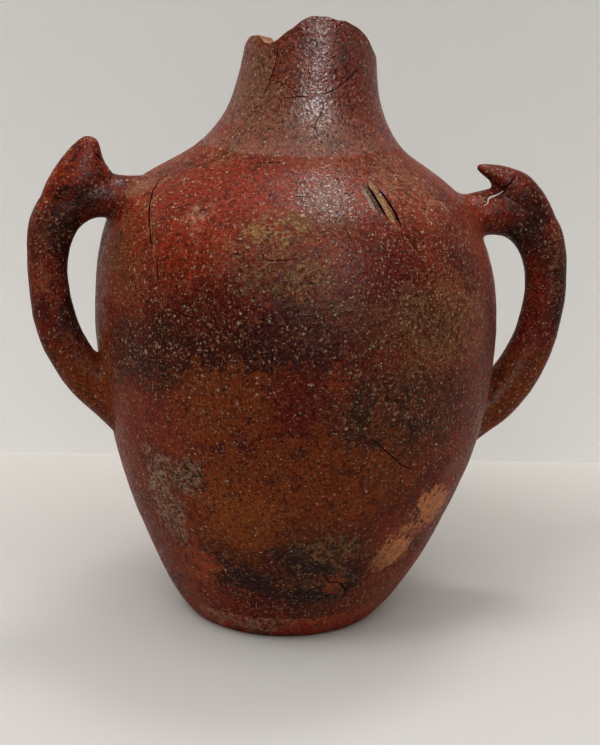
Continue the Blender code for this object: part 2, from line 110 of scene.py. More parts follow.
# The lip's height is measured this far in from the neck's two faces
LIP_INSET = 1.25 * MM
# The break's own roughness: its depth, its waves per unit, and how far it sits below the frame's break. Faces
# of the broken neck whose normal points up by more than the last show bare clay
FRACTURE_NOISE = 1.6 * MM
FRACTURE_WAVES = 4.5
FRACTURE_SINK = 0.3
FRACTURE_FACING = 0.5
# Faces that meet past this angle make an edge
SHARP_DEGREES = 50
# How often each cage is subdivided
SMOOTH_LEVELS = 3
FILL_LEVELS = 2
# Hand-built swells beyond the frame's profile: height in metres, then mm on the right side and on the left
WALL_SWELLS = (
    (0.0, 0.0, 0.0), (0.03, 1.0, 1.0), (0.045, 1.6, 1.0), (0.06, 0.6, 2.0), (0.07, -0.4, 2.0),
    (0.085, -0.9, 1.6), (0.1, -0.9, 1.6), (0.12, -0.4, 1.0), (0.14, 0.0, 0.8), (0.16, 0.0, 1.6),
    (0.175, 1.0, 1.6), (0.19, 1.8, 0.7), (0.205, 2.8, 0.6), (0.215, 2.4, 0.5), (0.235, 1.0, 0.3),
    (0.25, 0.0, 0.0), (0.36, 0.0, 0.0),
)
# Hand-made unevenness at three sizes
WAVE_SIZE = 60 * MM
DENT_SIZE = 14 * MM
GRAIN_SIZE = 4 * MM
# The share of the waves that push out: more than half stands for in
WALL_WAVE_MIDDLE = 0.53
HANDLE_WAVE_MIDDLE = 0.6
CLOUD_DEPTH = 2

# The handles: the plane they share, then for each its side, the middle of its finger gap as out and up, the
# fan of its sections in degrees from upright, and how far its upper and lower root reach along the wall:
# eight lengths in mm that go round the root from its outer side by way of its front to its gap side and back
HANDLE_PLANE_TURN = math.radians(12)
HANDLE_CENTRE = Vector((7.5 * MM, 0.0, 0.0))
HANDLE_SIDES = 16
HANDLE_SECTIONS = 15
HANDLES = (
    ("left", -1, (0.127, 0.208), (-20, 172), ((6, 18, 34, 44, 22, 8, 9, 8), (2, 5, 7, 6, 5, 6, 7, 5))),
    ("right", 1, (0.127, 0.189), (-22, 176), ((7, 10, 12, 12, 8, 6, 8, 7), (0, 4, 7, 6, 5, 6, 7, 4))),
)
# A root's rings: shares of the way from handle to wall, how far back their rays start, how far off the wall
# their reach is dropped from, how thick the pad lies, how deep its edge sinks, and how its core closes
ROOT_SHARES = (0.3, 0.55, 0.8, 1.0)
ROOT_BACK = 20 * MM
ROOT_LIFT = 15 * MM
ROOT_PAD = 0.6 * MM
ROOT_SINK = 1.0 * MM
ROOT_DEPTH = 5 * MM
ROOT_CORE = 0.35
# How much of a root's unevenness its rings take, from inside the wall outwards
ROOT_FADE = [0.0, 0.0, 0.0, 0.4, 0.8]
# How far each handle's lower root turns in towards the jar
LOWER_ROOT_TURNS = {"left": 0.5, "right": 0.8}

# The left and the right spur: rows of pixels from deep in the handle to the tip, each with its outer and its
# inner end, and their widths front to back in mm
SPURS = (
    (
        (
            ((36.5, 214), (104, 208)), ((38, 202), (112, 199)), ((41.6, 190), (117, 187)),
            ((46, 180.3), (116, 177)), ((54.6, 166.5), (110.5, 169)), ((64.6, 153), (104, 161)),
            ((72, 145), (101.4, 151.5)), ((79, 139), (100, 143)), ((84.5, 135.5), (95.8, 137.5)),
        ),
        (22, 25, 27, 27, 25.5, 22, 17, 13, 7),
    ),
    (
        (
            ((560, 230), (505, 226)), ((554.3, 212), (500, 213)), ((548.2, 199), (496, 203)),
            ((541.3, 188.5), (493, 196)), ((534, 179.5), (492, 190.5)), ((526.5, 172.8), (492, 186.5)),
            ((517, 169.4), (490.5, 182)), ((507, 166.4), (487, 179)), ((497, 164.6), (483, 176)),
            ((487.5, 163.8), (479.5, 172.5)), ((479, 164), (475.8, 168.6)),
        ),
        (20, 23, 25.5, 26, 25, 23.5, 21, 17, 13, 9, 5),
    ),
)
# The bands of a handle's skin
UPPER_ROOT, BAR, LOWER_ROOT, SPUR = range(4)
# Handle and spur are worked into one skin: the size of its faces, how often the skin is smoothed, and how
# far a face lies off the handle's own shape to count as the spur's
SKIN_MESH = 0.9 * MM
SKIN_SMOOTHING = 10
SPUR_PROUD = 1.2 * MM

# The restorer's fill: pixels along it, each with its half width in mm, how flat it is, and its lumps
FILL_LINE = (
    ((483.5, 206), 0.2), ((486, 204.8), 0.3), ((488.3, 202.6), 0.3), ((487.8, 200.4), 0.35),
    ((489, 198.3), 0.75), ((491.7, 197.1), 0.75), ((495.5, 195.7), 0.6), ((499, 194.2), 0.4),
    ((503, 191), 0.25),
)
FILL_SIDES = 8
FILL_FLATNESS = 0.6
FILL_LUMP_SIZE = 3 * MM
FILL_LUMP_DEPTH = 0.5 * MM

# The visible piece that stands for each node of the frame
PIECE_NAMES = {
    "foot_disc": "turned_foot",
    **{node: f"clay_coil_{number}" for number, node in enumerate(COIL_NODES, 1)},
    "neck_coil": "clay_neck_coil",
    "broken_neck": "clay_broken_neck",
    "handle_left": "left_loop_handle",
    "handle_right": "right_loop_handle",
    "collar_left_upper": "left_upper_root",
    "collar_left_lower": "left_lower_root",
    "collar_right_upper": "right_upper_root",
    "collar_right_lower": "right_lower_root",
    "spur_left": "left_crown_spur",
    "spur_right": "right_crown_spur",
    "repair_fill": "repair_plaster",
}

# The stage, and each lamp's direction and distance from the jar, its width and height, its power in watts,
# and what it does: light falls on everything, and glare is only mirrored
FLOOR_SIZE = 6.0
# Painted shade: the floor's paint darkens from the backdrop to this far in front of the jar, as the light on
# it would fall off
FLOOR_PAINTED_SHADE_AT = -0.4
FLOOR_PAINTED_SHADE_SHARE = 0.56
BACKDROP_Y = 0.262
BACKDROP_HEIGHT = 1.0
TABLE_EDGE = 0.45
# The room is bright overhead and dim low down, by the height part of a direction
ROOM_DIM_BELOW = 0.3
ROOM_BRIGHT_ABOVE = 0.95
ROOM_DIM_SHARE = 0.03
LAMP_AIM = Vector((0.0, 0.0, 0.3))
LAMPS = (
    ("ceiling lamp", (0.15, 0.3, 0.94), 3.0, 0.9, 0.9, 40.0, "light"),
    ("left window", (-0.37, -0.42, 0.83), 3.0, 1.1, 1.1, 23.0, "light"),
    ("ceiling lamp's glare", (0.178, 0.235, 0.956), 1.5, 0.26, 0.26, 42.0, "glare"),
    ("front window's glare", (0.27, -0.86, 0.43), 1.5, 0.85, 0.68, 62.0, "glare"),
)

# Cracks and grooves: pixels along each, and its half width in mm
CRACKS = (
    (((279, 44), (276, 62), (271, 78), (266, 90), (262, 99)), 0.34),
    (((360, 58), (357, 70), (347, 80), (336, 89), (322, 95), (318, 96.5)), 0.34),
    (((312, 97), (304, 96.5), (295, 97), (284, 98)), 0.3),
    (((322, 100), (324, 106), (321, 114), (316, 122), (315, 128), (318, 136)), 0.34),
    (((186, 170), (200, 165), (222, 158.5)), 0.36),
    (((256, 163), (266, 163), (280, 162)), 0.36),
    (((408, 167), (421, 173), (434, 183), (450, 197)), 0.36),
    (((343, 222), (348, 234), (352, 244)), 0.3),
    (((256, 260), (272, 260.5), (290, 260), (299, 258)), 0.3),
    (((292, 196), (304, 196.5), (311, 197)), 0.25),
    (((171, 308), (180, 313), (190, 317), (198, 319)), 0.4),
    (((372, 439), (388, 453), (400, 464), (414, 471)), 0.4),
    (((154.5, 254), (157, 264), (157.5, 274), (158, 282), (164, 285)), 0.42),
    (((323, 575), (330, 582), (340, 583), (346, 590), (343, 599)), 0.55),
    (((366.6, 184), (373, 194), (380, 206), (388, 219)), 1.05),
    (((377.5, 187), (386, 198), (394, 211), (402, 227)), 0.95),
    (((405, 233), (411, 242), (419, 253)), 0.4),
    (((161, 178), (153, 190), (149.5, 205), (149, 222), (150.5, 238), (153, 250)), 0.55),
    (((515.5, 173), (514, 177.5), (511, 183), (506.5, 186), (499, 188.5)), 0.55),
    # Under the left spur's horn: a groove lined with painted shadow, where the notch lies in shade
    (((95, 152.5), (99, 156.5), (103.5, 162)), 1.2),
    (((483.8, 201.3), (485.5, 199.6), (486.5, 198)), 1.1),
    (((86, 358), (89, 359.5)), 0.8),
)
# A crack's points are about this many pixels apart, each is put off its line by this many, every point and
# crack by its own share of the noise, and its tube lies this share of its radius below the skin
CRACK_STEP = 3.0
CRACK_WANDER = 0.6
CRACK_WANDER_STEPS = (0.7, 5.3, 0.5)
CRACK_SINK = 0.3
# A crack's width: this share at its ends, more at each step from them, and lumps of this share and size
CRACK_END = 0.35
CRACK_WIDENS = 0.225
CRACK_LUMPS = 0.25
CRACK_LUMP_SIZE = 4 * MM

# Clay colours: slips from thick to thin, what has settled on them, and what shows where they are gone
CLAY_COLOURS = {
    "crimson": "#5a1208",
    "red": "#762410",
    "bright_red": "#862a10",
    "orange_red": "#8c3210",
    "orange_brown": "#74330f",
    "ochre_orange": "#844716",
    "brown": "#58301c",
    "maroon": "#38100a",
    "black_brown": "#1f0e09",
    "green_black": "#2a2013",
    "soot": "#201413",
    "ochre": "#86683e",
    "tan": "#85563a",
    # Dusty also paints part of a highlight on the left upper root
    "dusty": "#805a42",
    "chip": "#bd764a",
    "red_chip": "#8c3a1a",
    "grey_green": "#5a5238",
    # Pale also paints part of a highlight on the left shoulder
    "pale": "#a08a70",
    # Painted shade inside holes
    "pit_shade": "#1c0c08",
}

# Kinds of stain: softness of the edge, what breaks it up (0 nothing, 1 flecks, 2 blotches), and its relief.
# A line is narrow and keeps its edge, dust and clean give and take grit, and polish smooths
STAIN_KINDS = {
    "soft": (0.3, 0, 0.0),
    "broken": (0.3, 2, 0.0),
    "flecked": (0.35, 1, 0.0),
    "crust": (0.3, 1, 1.0),
    "crisp": (0.05, 0, 0.3),
    "line": (0.25, 0, 0.0),
    "dust": (0.4, 0, 0.0),
    "clean": (0.4, 0, 0.0),
    "polish": (0.4, 0, 0.0),
}
# A stain reaches this far into the wall, so it doesn't show on the far side
STAIN_DEPTH = 60 * MM
# Where an end of a stain's arm is off the pot, the arm is measured nearer its centre
ARM_SHARES = (1.0, -1.0, 0.6, -0.6, 0.3, -0.3, 0.1, -0.1)

# Stains on the wall as the photograph shows them: kind, then centre, half width and half height in pixels and
# clockwise turn in degrees, then colour and cover
WALL_STAINS = (
    ("soft", ((235, 190), 75, 32, 0), "red", 0.8),
    ("soft", ((188, 246), 40, 24, 0), "bright_red", 0.8),
    ("soft", ((392, 252), 40, 54, 0), "crimson", 0.85),
    ("soft", ((345, 150), 110, 22, 0), "dusty", 0.15),
    ("flecked", ((405, 185), 36, 16, 20), "tan", 0.8),
    ("flecked", ((300, 140), 95, 14, 0), "dusty", 0.25),
    ("soft", ((292, 345), 60, 44, 0), "maroon", 0.95),
    ("soft", ((165, 352), 62, 46, 0), "maroon", 0.6),
    ("broken", ((165, 360), 62, 46, 0), "black_brown", 0.8),
    ("broken", ((252, 361), 26, 21, 0), "black_brown", 0.95),
    ("soft", ((226, 406), 62, 36, 0), "orange_brown", 0.85),
    ("soft", ((334, 394), 13, 26, 0), "orange_red", 0.8),
    ("soft", ((306, 416), 32, 42, 0), "crimson", 0.9),
    ("flecked", ((440, 325), 40, 46, 0), "ochre", 0.55),
    ("soft", ((395, 325), 60, 30, 0), "brown", 0.5),
    ("soft", ((404, 420), 62, 52, 0), "brown", 0.55),
    ("broken", ((400, 422), 60, 52, 0), "green_black", 0.9),
    ("soft", ((352, 432), 11, 38, 0), "green_black", 0.7),
    ("soft", ((145, 424), 26, 30, 0), "red", 0.7),
    ("soft", ((300, 488), 130, 46, 0), "orange_brown", 0.8),
    ("soft", ((238, 530), 42, 34, 0), "ochre_orange", 0.5),
    ("crust", ((278, 231), 38, 21, 0), "ochre", 0.95),
    ("crust", ((296, 278), 46, 24, 0), "ochre", 0.6),
    ("crust", ((245, 268), 40, 16, 0), "tan", 0.5),
    ("broken", ((184, 476), 14, 18, 0), "black_brown", 1.0),
    ("crust", ((186, 476), 13, 15, 0), "pale", 0.6),
    ("crust", ((166, 498), 14, 28, 18), "pale", 0.9),
    ("crisp", ((433, 506), 10, 15, 18), "chip", 0.95),
    ("crisp", ((392, 551), 14, 13, 0), "chip", 0.95),
    ("crisp", ((412, 530), 7, 5, 0), "chip", 0.8),
    ("soft", ((318, 572), 58, 40, 0), "soot", 0.45),
    ("broken", ((314, 578), 60, 40, 0), "soot", 0.95),
    ("broken", ((236, 576), 34, 24, 20), "soot", 0.95),
    ("broken", ((264, 592), 30, 14, 0), "soot", 0.9),
    ("crust", ((322, 556), 36, 16, 0), "ochre", 0.6),
    ("crust", ((318, 586), 30, 14, 0), "grey_green", 0.4),
    ("crisp", ((290, 556), 20, 9, 10), "soot", 0.75),
    ("crisp", ((314, 568), 13, 6, 0), "soot", 0.9),
    ("crisp", ((246, 578), 24, 8, 20), "soot", 0.8),
    ("crisp", ((310, 596), 24, 7, -8), "soot", 0.85),
    ("crisp", ((352, 578), 10, 13, 0), "soot", 0.6),
    ("crisp", ((204, 565), 17, 12, 12), "red_chip", 0.95),
    ("crisp", ((334, 583), 9, 8, 0), "red_chip", 0.7),
    # Pale flecked scuff on the left shoulder, partly a painted highlight
    ("flecked", ((200, 217), 17, 13, 0), "pale", 0.4),
    ("line", ((383, 202), 25, 2.4, 58), "ochre", 0.85),
    ("line", ((371, 197), 17, 3.2, 58), "green_black", 0.7),
    ("line", ((369, 199), 14, 1.4, 58), "pale", 0.5),
    ("line", ((412, 247), 12, 1.3, 55), "ochre", 0.4),
    ("line", ((158, 183), 2.2, 8, 35), "tan", 0.7),
    ("line", ((151.5, 200), 1.8, 9, 12), "tan", 0.7),
    ("line", ((150.5, 222), 1.7, 10, 0), "tan", 0.6),
    ("line", ((154, 250), 1.7, 14, -15), "tan", 0.6),
    ("dust", ((440, 300), 50, 80, 0), None, 0.65),
    ("dust", ((160, 340), 60, 60, 0), None, 0.3),
    ("dust", ((300, 275), 60, 25, 0), None, 0.3),
    ("dust", ((395, 410), 60, 50, 0), None, 0.2),
    ("clean", ((306, 420), 34, 46, 0), None, 0.15),
    ("clean", ((290, 520), 130, 70, 0), None, 0.28),
    ("polish", ((328, 204), 36, 30, 0), None, 1.0),
    ("soft", ((328, 204), 28, 24, 0), "brown", 0.8),
    ("clean", ((235, 190), 60, 28, 0), None, 0.15),
)

NECK_STAINS = (
    ("soft", ((345, 150), 110, 22, 0), "dusty", 0.15),
    ("flecked", ((300, 140), 95, 14, 0), "dusty", 0.25),
    ("soft", ((345, 62), 30, 34, 0), "red", 0.8),
    ("soft", ((255, 90), 22, 40, 10), "dusty", 0.6),
    ("flecked", ((300, 110), 40, 16, 0), "tan", 0.7),
    ("polish", ((318, 88), 34, 50, 0), None, 1.0),
)

# Grit: spacing, radius of the largest grain, and the share of places it takes where dust is thickest
GRIT = (
    (1.7 * MM, 0.62 * MM, 1.1),
    (3.1 * MM, 0.9 * MM, 0.9),
    (6.5 * MM, 1.3 * MM, 0.6),
    (17 * MM, 1.9 * MM, 0.5),
)
# Edges of stains: the spacing, reach and detail of bays, of teeth, and of what puts grains out of round, and
# how far blotches, flecks, and flecks along a line move the edge, as shares of the stain's size
BAYS = (18 * MM, 40 * MM, 5.0)
TEETH = (7 * MM, 16 * MM, 4.0)
OUT_OF_ROUND = (1.2 * MM, 3 * MM, 2.0)
BLOTCHY_EDGE = 3.0
FLECKED_EDGE = 0.9
LINE_EDGE = 1.6
# A speck's least size, and the share of it that is solid
SPECK_SMALLEST = 0.5
SPECK_CORE = 0.6
# Sizes of the patterns: patches of other slip, mottling, flecks, thin slip and the ripples of burnishing
PATCH_SIZE = 38 * MM
BLOTCH_SIZE = 7 * MM
FLECK_SIZE = 2.6 * MM
THIN_SLIP_SIZE = 1.6 * MM
RIPPLE_SIZE = 2.4 * MM
PLASTER_GRAIN = 1.5 * MM
# How high grains and crusts stand, as a share of a grain's radius and in metres, and how deep pits go
GRIT_RELIEF = 0.25
CRUST_RELIEF = 0.8 * MM
PIT_DEPTH = 0.35 * MM
PLASTER_RELIEF = 0.3 * MM
# How roughness varies over the burnish, and what polish, crusts and dull flecks do to it
ROUGHNESS_RANGE = 0.14
POLISH_SMOOTHS = 0.14
CRUST_ROUGHENS = 0.3
DULL_ROUGHENS = 0.5

# Iron-red slip, burnished with a pebble and long buried: clouds of crimson to orange brown under pale grit
BURNISHED_SLIP = {
    "cloud_size": 60 * MM,
    "clouds": ((0.3, "#4a130a"), (0.44, "#6b200e"), (0.56, "#7a2c12"), (0.7, "#6e3518")),
    "scatter": (("#2a120b", 3.0, 0.56, 0.7, 0.6), ("#7a5030", 8.0, 0.6, 0.72, 0.5)),
    "stains": WALL_STAINS,
    "dust": 0.5,
    "pits": (2.7 * MM, 0.88 * MM, 0.75),
    "ripple": 0.55 * MM,
    "rougher": 0.0,
    "gloss": 0.05,
}
# The same slip on the neck, handled more and less crusted, so it shines
NECK_SLIP = {
    **BURNISHED_SLIP,
    "stains": NECK_STAINS,
    "dust": 0.65,
    "gloss": 0.2,
}
# The foot's clay: redder slip, scuffed pale where the jar has stood and been dragged
FOOT_CLAY = {
    "cloud_size": 50 * MM,
    "clouds": ((0.35, "#761d0d"), (0.5, "#922810"), (0.68, "#86391a")),
    "scatter": (("#2a120b", 3.0, 0.56, 0.7, 0.5),),
    "stains": (
        ("crust", ((285, 609), 30, 6, 0), "pale", 0.7),
        ("crust", ((248, 620), 55, 10, 12), "pale", 0.6),
    ),
    "dust": 0.5,
    "pits": (4.6 * MM, 0.75 * MM, 0.4),
    "ripple": 0.45 * MM,
    "rougher": 0.08,
    "gloss": 0.05,
}
# Darker, redder slip on the handles, polished by hands and dusted with grit
HANDLE_SLIP = {
    "cloud_size": 34 * MM,
    "clouds": ((0.32, "#2e0f08"), (0.46, "#52170d"), (0.58, "#6a1c0d"), (0.72, "#7c3014")),
    "scatter": (("#22100c", 5.0, 0.55, 0.7, 0.6), ("#7a4a30", 9.0, 0.6, 0.72, 0.4)),
    "stains": (
        ("soft", ((66, 178), 32, 30, -50), "bright_red", 0.7),
        ("soft", ((133, 205), 24, 50, 0), "red", 0.85),
        # Pale dusty patch on the left upper root, partly a painted highlight
        ("soft", ((140, 184), 20, 12, 0), "dusty", 0.6),
        ("flecked", ((36, 240), 8, 60, 8), "dusty", 0.35),
        ("soft", ((66, 232), 9, 34, -14), "black_brown", 0.8),
        ("soft", ((88, 196), 18, 10, -25), "black_brown", 0.8),
        ("soft", ((528, 230), 8, 36, 14), "black_brown", 0.7),
        ("soft", ((505, 196), 18, 9, 15), "black_brown", 0.7),
        ("soft", ((95, 385), 24, 34, 0), "orange_brown", 0.7),
        ("soft", ((510, 190), 22, 14, 20), "crimson", 0.6),
        ("soft", ((473, 205), 12, 22, 0), "red", 0.85),
        ("soft", ((500, 385), 24, 36, 0), "orange_brown", 0.8),
        ("flecked", ((562, 250), 8, 50, 0), "dusty", 0.5),
        # A hole beside the repair, darkened with painted shade
        ("crisp", ((485.5, 199.6), 2.6, 2.2, 0), "pit_shade", 1.0),
    ),
    "dust": 0.5,
    "pits": (4.6 * MM, 0.75 * MM, 0.5),
    "ripple": 0.45 * MM,
    "rougher": 0.02,
    "gloss": 0.05,
}
# Bare clay where the neck has broken off: matt, pinkish tan, with its grog showing
BROKEN_CLAY = {
    "cloud_size": 14 * MM,
    "clouds": ((0.35, "#7d4a34"), (0.5, "#946048"), (0.65, "#a87a60")),
    "scatter": (("#5a3020", 2.0, 0.55, 0.7, 0.6),),
    "stains": (),
    "dust": 0.8,
    "pits": (3.6 * MM, 0.8 * MM, 0.6),
    "ripple": 1.2 * MM,
    "rougher": 0.35,
    "gloss": 0.05,
}


def rgb(hex_colour):
    """Linear RGBA of an sRGB hex colour."""
    channels = [int(hex_colour[place:place + 2], 16) / 255 for place in (1, 3, 5)]
    return (*((c / 12.92 if c <= 0.04045 else ((c + 0.055) / 1.055) ** 2.4) for c in channels), 1.0)


def pixel_ray(pixel):
    """Unit vector from the camera through a pixel of the photograph."""
    aim = Vector((pixel[0] - PHOTO_WIDTH / 2, PHOTO_HEIGHT / 2 - pixel[1], -FOCAL_PIXELS))
    return (CAMERA_TURN @ aim).normalized()


def first_hit(objects, origin, direction):
    """Place, normal and name of the first of these objects that a ray meets, or None."""
    nearest = None
    for obj in objects:
        found, place, normal, _ = obj.ray_cast(origin, direction)
        if found and (nearest is None or (place - origin).length < (nearest[0] - origin).length):
            nearest = (place, normal, obj.name)
    return nearest


def frame_nodes(*names):
    """The frame's solids of these names."""
    return [frame["nodes"][name] for name in names]


def between(pairs, place):
    """Value at a place in a sorted table of (place, value), run on in a line past its ends."""
    number = 1
    while number < len(pairs) - 1 and pairs[number][0] < place:
        number += 1
    (low, first), (high, second) = pairs[number - 1], pairs[number]
    return first + (second - first) * (place - low) / (high - low)


# Measuring the frame


def measure_wall():
    """Tables by height of the wall's centre and its outer and inner radius, and each joint's two heights."""
    solids = frame_nodes(*WALL_NODES)
    centres, outers, inners = [], [], []
    outer_joints, inner_joints = {}, {}
    height = MEASURE_STEP / 4
    while height < MEASURE_TOP:
        chord = MEASURE_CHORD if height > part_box("broken_neck")[0].z else MEASURE_STEP / 10
        left = first_hit(solids, Vector((-1.0, -chord, height)), Vector((1.0, 0.0, 0.0)))
        right = first_hit(solids, Vector((1.0, -chord, height)), Vector((-1.0, 0.0, 0.0)))
        centre = (left[0].x + right[0].x) / 2
        centres.append((height, centre))
        outers.append((height, math.hypot((right[0].x - left[0].x) / 2, chord)))
        outer_joints.setdefault(left[2], height)
        if height > FLOOR_TOP:
            start = Vector((centre, -MEASURE_STEP / 10, height))
            hit = first_hit(solids, start, Vector((0.0, -1.0, 0.0)))
            inners.append((height, (hit[0] - start).length))
            inner_joints.setdefault(hit[2], height)
        height += MEASURE_STEP
    joints = [(outer_joints[name], inner_joints[name]) for name in WALL_NODES]
    return centres, outers, inners, joints


CENTRES, OUTERS, INNERS, JOINTS = measure_wall()


def wall_point(height, bearing, inside=False):
    """Point on the wall's outside or inside at a height and a bearing in radians."""
    radius = between(INNERS if inside else OUTERS, height)
    if not inside:
        right = between([(level, swell) for level, swell, _ in WALL_SWELLS], height)
        left = between([(level, swell) for level, _, swell in WALL_SWELLS], height)
        radius += (right if math.cos(bearing) > 0 else left) * math.cos(bearing) ** 2 * MM
    centre = between(CENTRES, height)
    return Vector((centre + radius * math.cos(bearing), radius * math.sin(bearing), height))


def lip_height(bearing, inset):
    """Height of the frame's break at a bearing, this far in from the neck's outside."""
    centre = between(CENTRES, MEASURE_TOP)
    radius = between(OUTERS, MEASURE_TOP) - inset
    start = Vector((centre + radius * math.cos(bearing), radius * math.sin(bearing), 1.0))
    hit = first_hit(frame_nodes("broken_neck"), start, -UP)
    return hit[0].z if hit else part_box("broken_neck")[0].z


# Shaping


def ringed_shell(name, rings, bands, weights, joints=None):
    """Closed shell through rings of points: one circle, extruded ring after ring, and capped at both ends.

    bands gives the strip from each ring to the next its band number, and weights says how much of the
    unevenness each ring takes. joints names the rings where two bands meet, as groups of their points.
    """
    sides = len(rings[0])
    bpy.ops.object.select_all(action="DESELECT")
    bpy.ops.mesh.primitive_circle_add(vertices=sides, radius=MM)
    shell = bpy.context.object
    shell.name = name
    bpy.ops.object.mode_set(mode="EDIT")
    bpy.ops.mesh.select_all(action="SELECT")
    for _ in rings[1:]:
        bpy.ops.mesh.extrude_edges_move()
    bpy.ops.object.mode_set(mode="OBJECT")
    places = [place for ring in rings for place in ring]
    for vertex, place in zip(shell.data.vertices, places, strict=True):
        vertex.co = place
    bpy.ops.object.mode_set(mode="EDIT")
    bpy.ops.mesh.select_all(action="DESELECT")
    bpy.ops.mesh.select_non_manifold()
    bpy.ops.mesh.fill_holes(sides=0)
    bpy.ops.mesh.poke()
    bpy.ops.mesh.select_all(action="SELECT")
    bpy.ops.mesh.normals_make_consistent(inside=False)
    bpy.ops.object.mode_set(mode="OBJECT")
    for band in range(max(bands) + 1):
        shell.data.materials.append(bpy.data.materials.new(f"band_{band:02d}"))
    for polygon in shell.data.polygons:
        polygon.material_index = bands[min(min(polygon.vertices) // sides, len(bands) - 1)]
    uneven = shell.vertex_groups.new(name="uneven")
    for number, weight in enumerate(weights):
        uneven.add(range(number * sides, (number + 1) * sides), weight, "REPLACE")
    for joint, numbers in (joints or {}).items():
        group = shell.vertex_groups.new(name=joint)
        for number in numbers:
            group.add(range(number * sides, (number + 1) * sides), 1.0, "REPLACE")
    return shell


def apply_modifier(obj, kind, **settings):
    """Adds a modifier with its settings and applies it."""
    bpy.context.view_layer.objects.active = obj
    modifier = obj.modifiers.new(kind.title(), kind)
    for name, value in settings.items():
        setattr(modifier, name, value)
    bpy.ops.object.modifier_apply(modifier=modifier.name)


def smooth_out(obj, levels):
    """Subdivides and rounds a cage."""
    levels = levels
    apply_modifier(obj, "SUBSURF", levels=levels, render_levels=levels)


def unevenness(obj, size, depth, middle=0.5, group="uneven"):
    """Hand-made unevenness: clouds of one size push the surface in and out by about half the depth."""
    clouds = bpy.data.textures.new(f"unevenness_{round(size / MM)}", "CLOUDS")
    clouds.noise_scale = size
    clouds.noise_depth = CLOUD_DEPTH
    apply_modifier(obj, "DISPLACE", texture=clouds, strength=depth, mid_level=middle, vertex_group=group)


def only(obj):
    """Leaves one object selected and active."""
    bpy.ops.object.select_all(action="DESELECT")
    obj.select_set(True)
    bpy.context.view_layer.objects.active = obj


def split_bands(shell):
    """Separates a shell into one object per band, in the order of their numbers."""
    only(shell)
    bpy.ops.object.mode_set(mode="EDIT")
    bpy.ops.mesh.separate(type="MATERIAL")
    bpy.ops.object.mode_set(mode="OBJECT")
    pieces = list(bpy.context.selected_objects)
    pieces.sort(key=lambda obj: obj.data.materials[obj.data.polygons[0].material_index].name)
    for piece in pieces:
        piece.data.materials.clear()
    return pieces


def close_joint(band, group_name=None):
    """Bridges the open edges in a joint's group of points, or caps each open edge where there is none."""
    only(band)
    bpy.ops.object.mode_set(mode="EDIT")
    bpy.ops.mesh.select_mode(type="EDGE")
    bpy.ops.mesh.select_all(action="DESELECT")
    bpy.ops.mesh.select_non_manifold()
    bpy.ops.object.mode_set(mode="OBJECT")
    if group_name:
        group = band.vertex_groups[group_name].index
        vertices = band.data.vertices
        for edge in band.data.edges:
            if edge.select and not all(
                any(part.group == group and part.weight > 0.9 for part in vertices[end].groups)
                for end in edge.vertices
            ):
                edge.select = False
    bpy.ops.object.mode_set(mode="EDIT")
    if group_name:
        bpy.ops.mesh.bridge_edge_loops()
    else:
        bpy.ops.mesh.fill_holes(sides=0)
    bpy.ops.mesh.select_all(action="SELECT")
    bpy.ops.mesh.normals_make_consistent(inside=False)
    bpy.ops.object.mode_set(mode="OBJECT")


def finish_piece(piece, name, replaced, slot, *materials):
    """Names a piece, shades it smooth, gives it its materials and ties it to the frame."""
    piece.name = name
    piece.data.name = name
    piece.vertex_groups.clear()
    only(piece)
    bpy.ops.object.shade_smooth_by_angle(angle=math.radians(SHARP_DEGREES))
    for material in materials:
        piece.data.materials.append(material)
    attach(piece, "root")
    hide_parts(replaced)


# The wall


def steps(low, high, spacing):
    """Heights from low up to just below high, evenly spaced by about this much."""
    count = max(round(abs(high - low) / spacing), 1)
    return [low + (high - low) * number / count for number in range(count)]


def turned_ring(height, inside=False, share=1.0):
    """Ring round the wall at one height, or drawn in to a share of its radius."""
    middle = Vector((between(CENTRES, height), 0.0, height))
    turns = [math.tau * side / WALL_SIDES for side in range(WALL_SIDES)]
    return [middle + (wall_point(height, turn, inside) - middle) * share for turn in turns]


def neck_ring(share, inside):
    """Ring of the broken neck, this share of the way from its crack up to the break."""
    low = JOINTS[-1][1 if inside else 0]
    ring = []
    for side in range(WALL_SIDES):
        turn = math.tau * side / WALL_SIDES
        rough = noise.noise(Vector((math.cos(turn), math.sin(turn), float(inside))) * FRACTURE_WAVES)
        inset = between(OUTERS, low) - between(INNERS, low) - LIP_INSET if inside else LIP_INSET
        top = lip_height(turn, inset) + FRACTURE_NOISE * (rough - FRACTURE_SINK)
        ring.append(wall_point(low + (top - low) * share, turn, inside))
    return ring


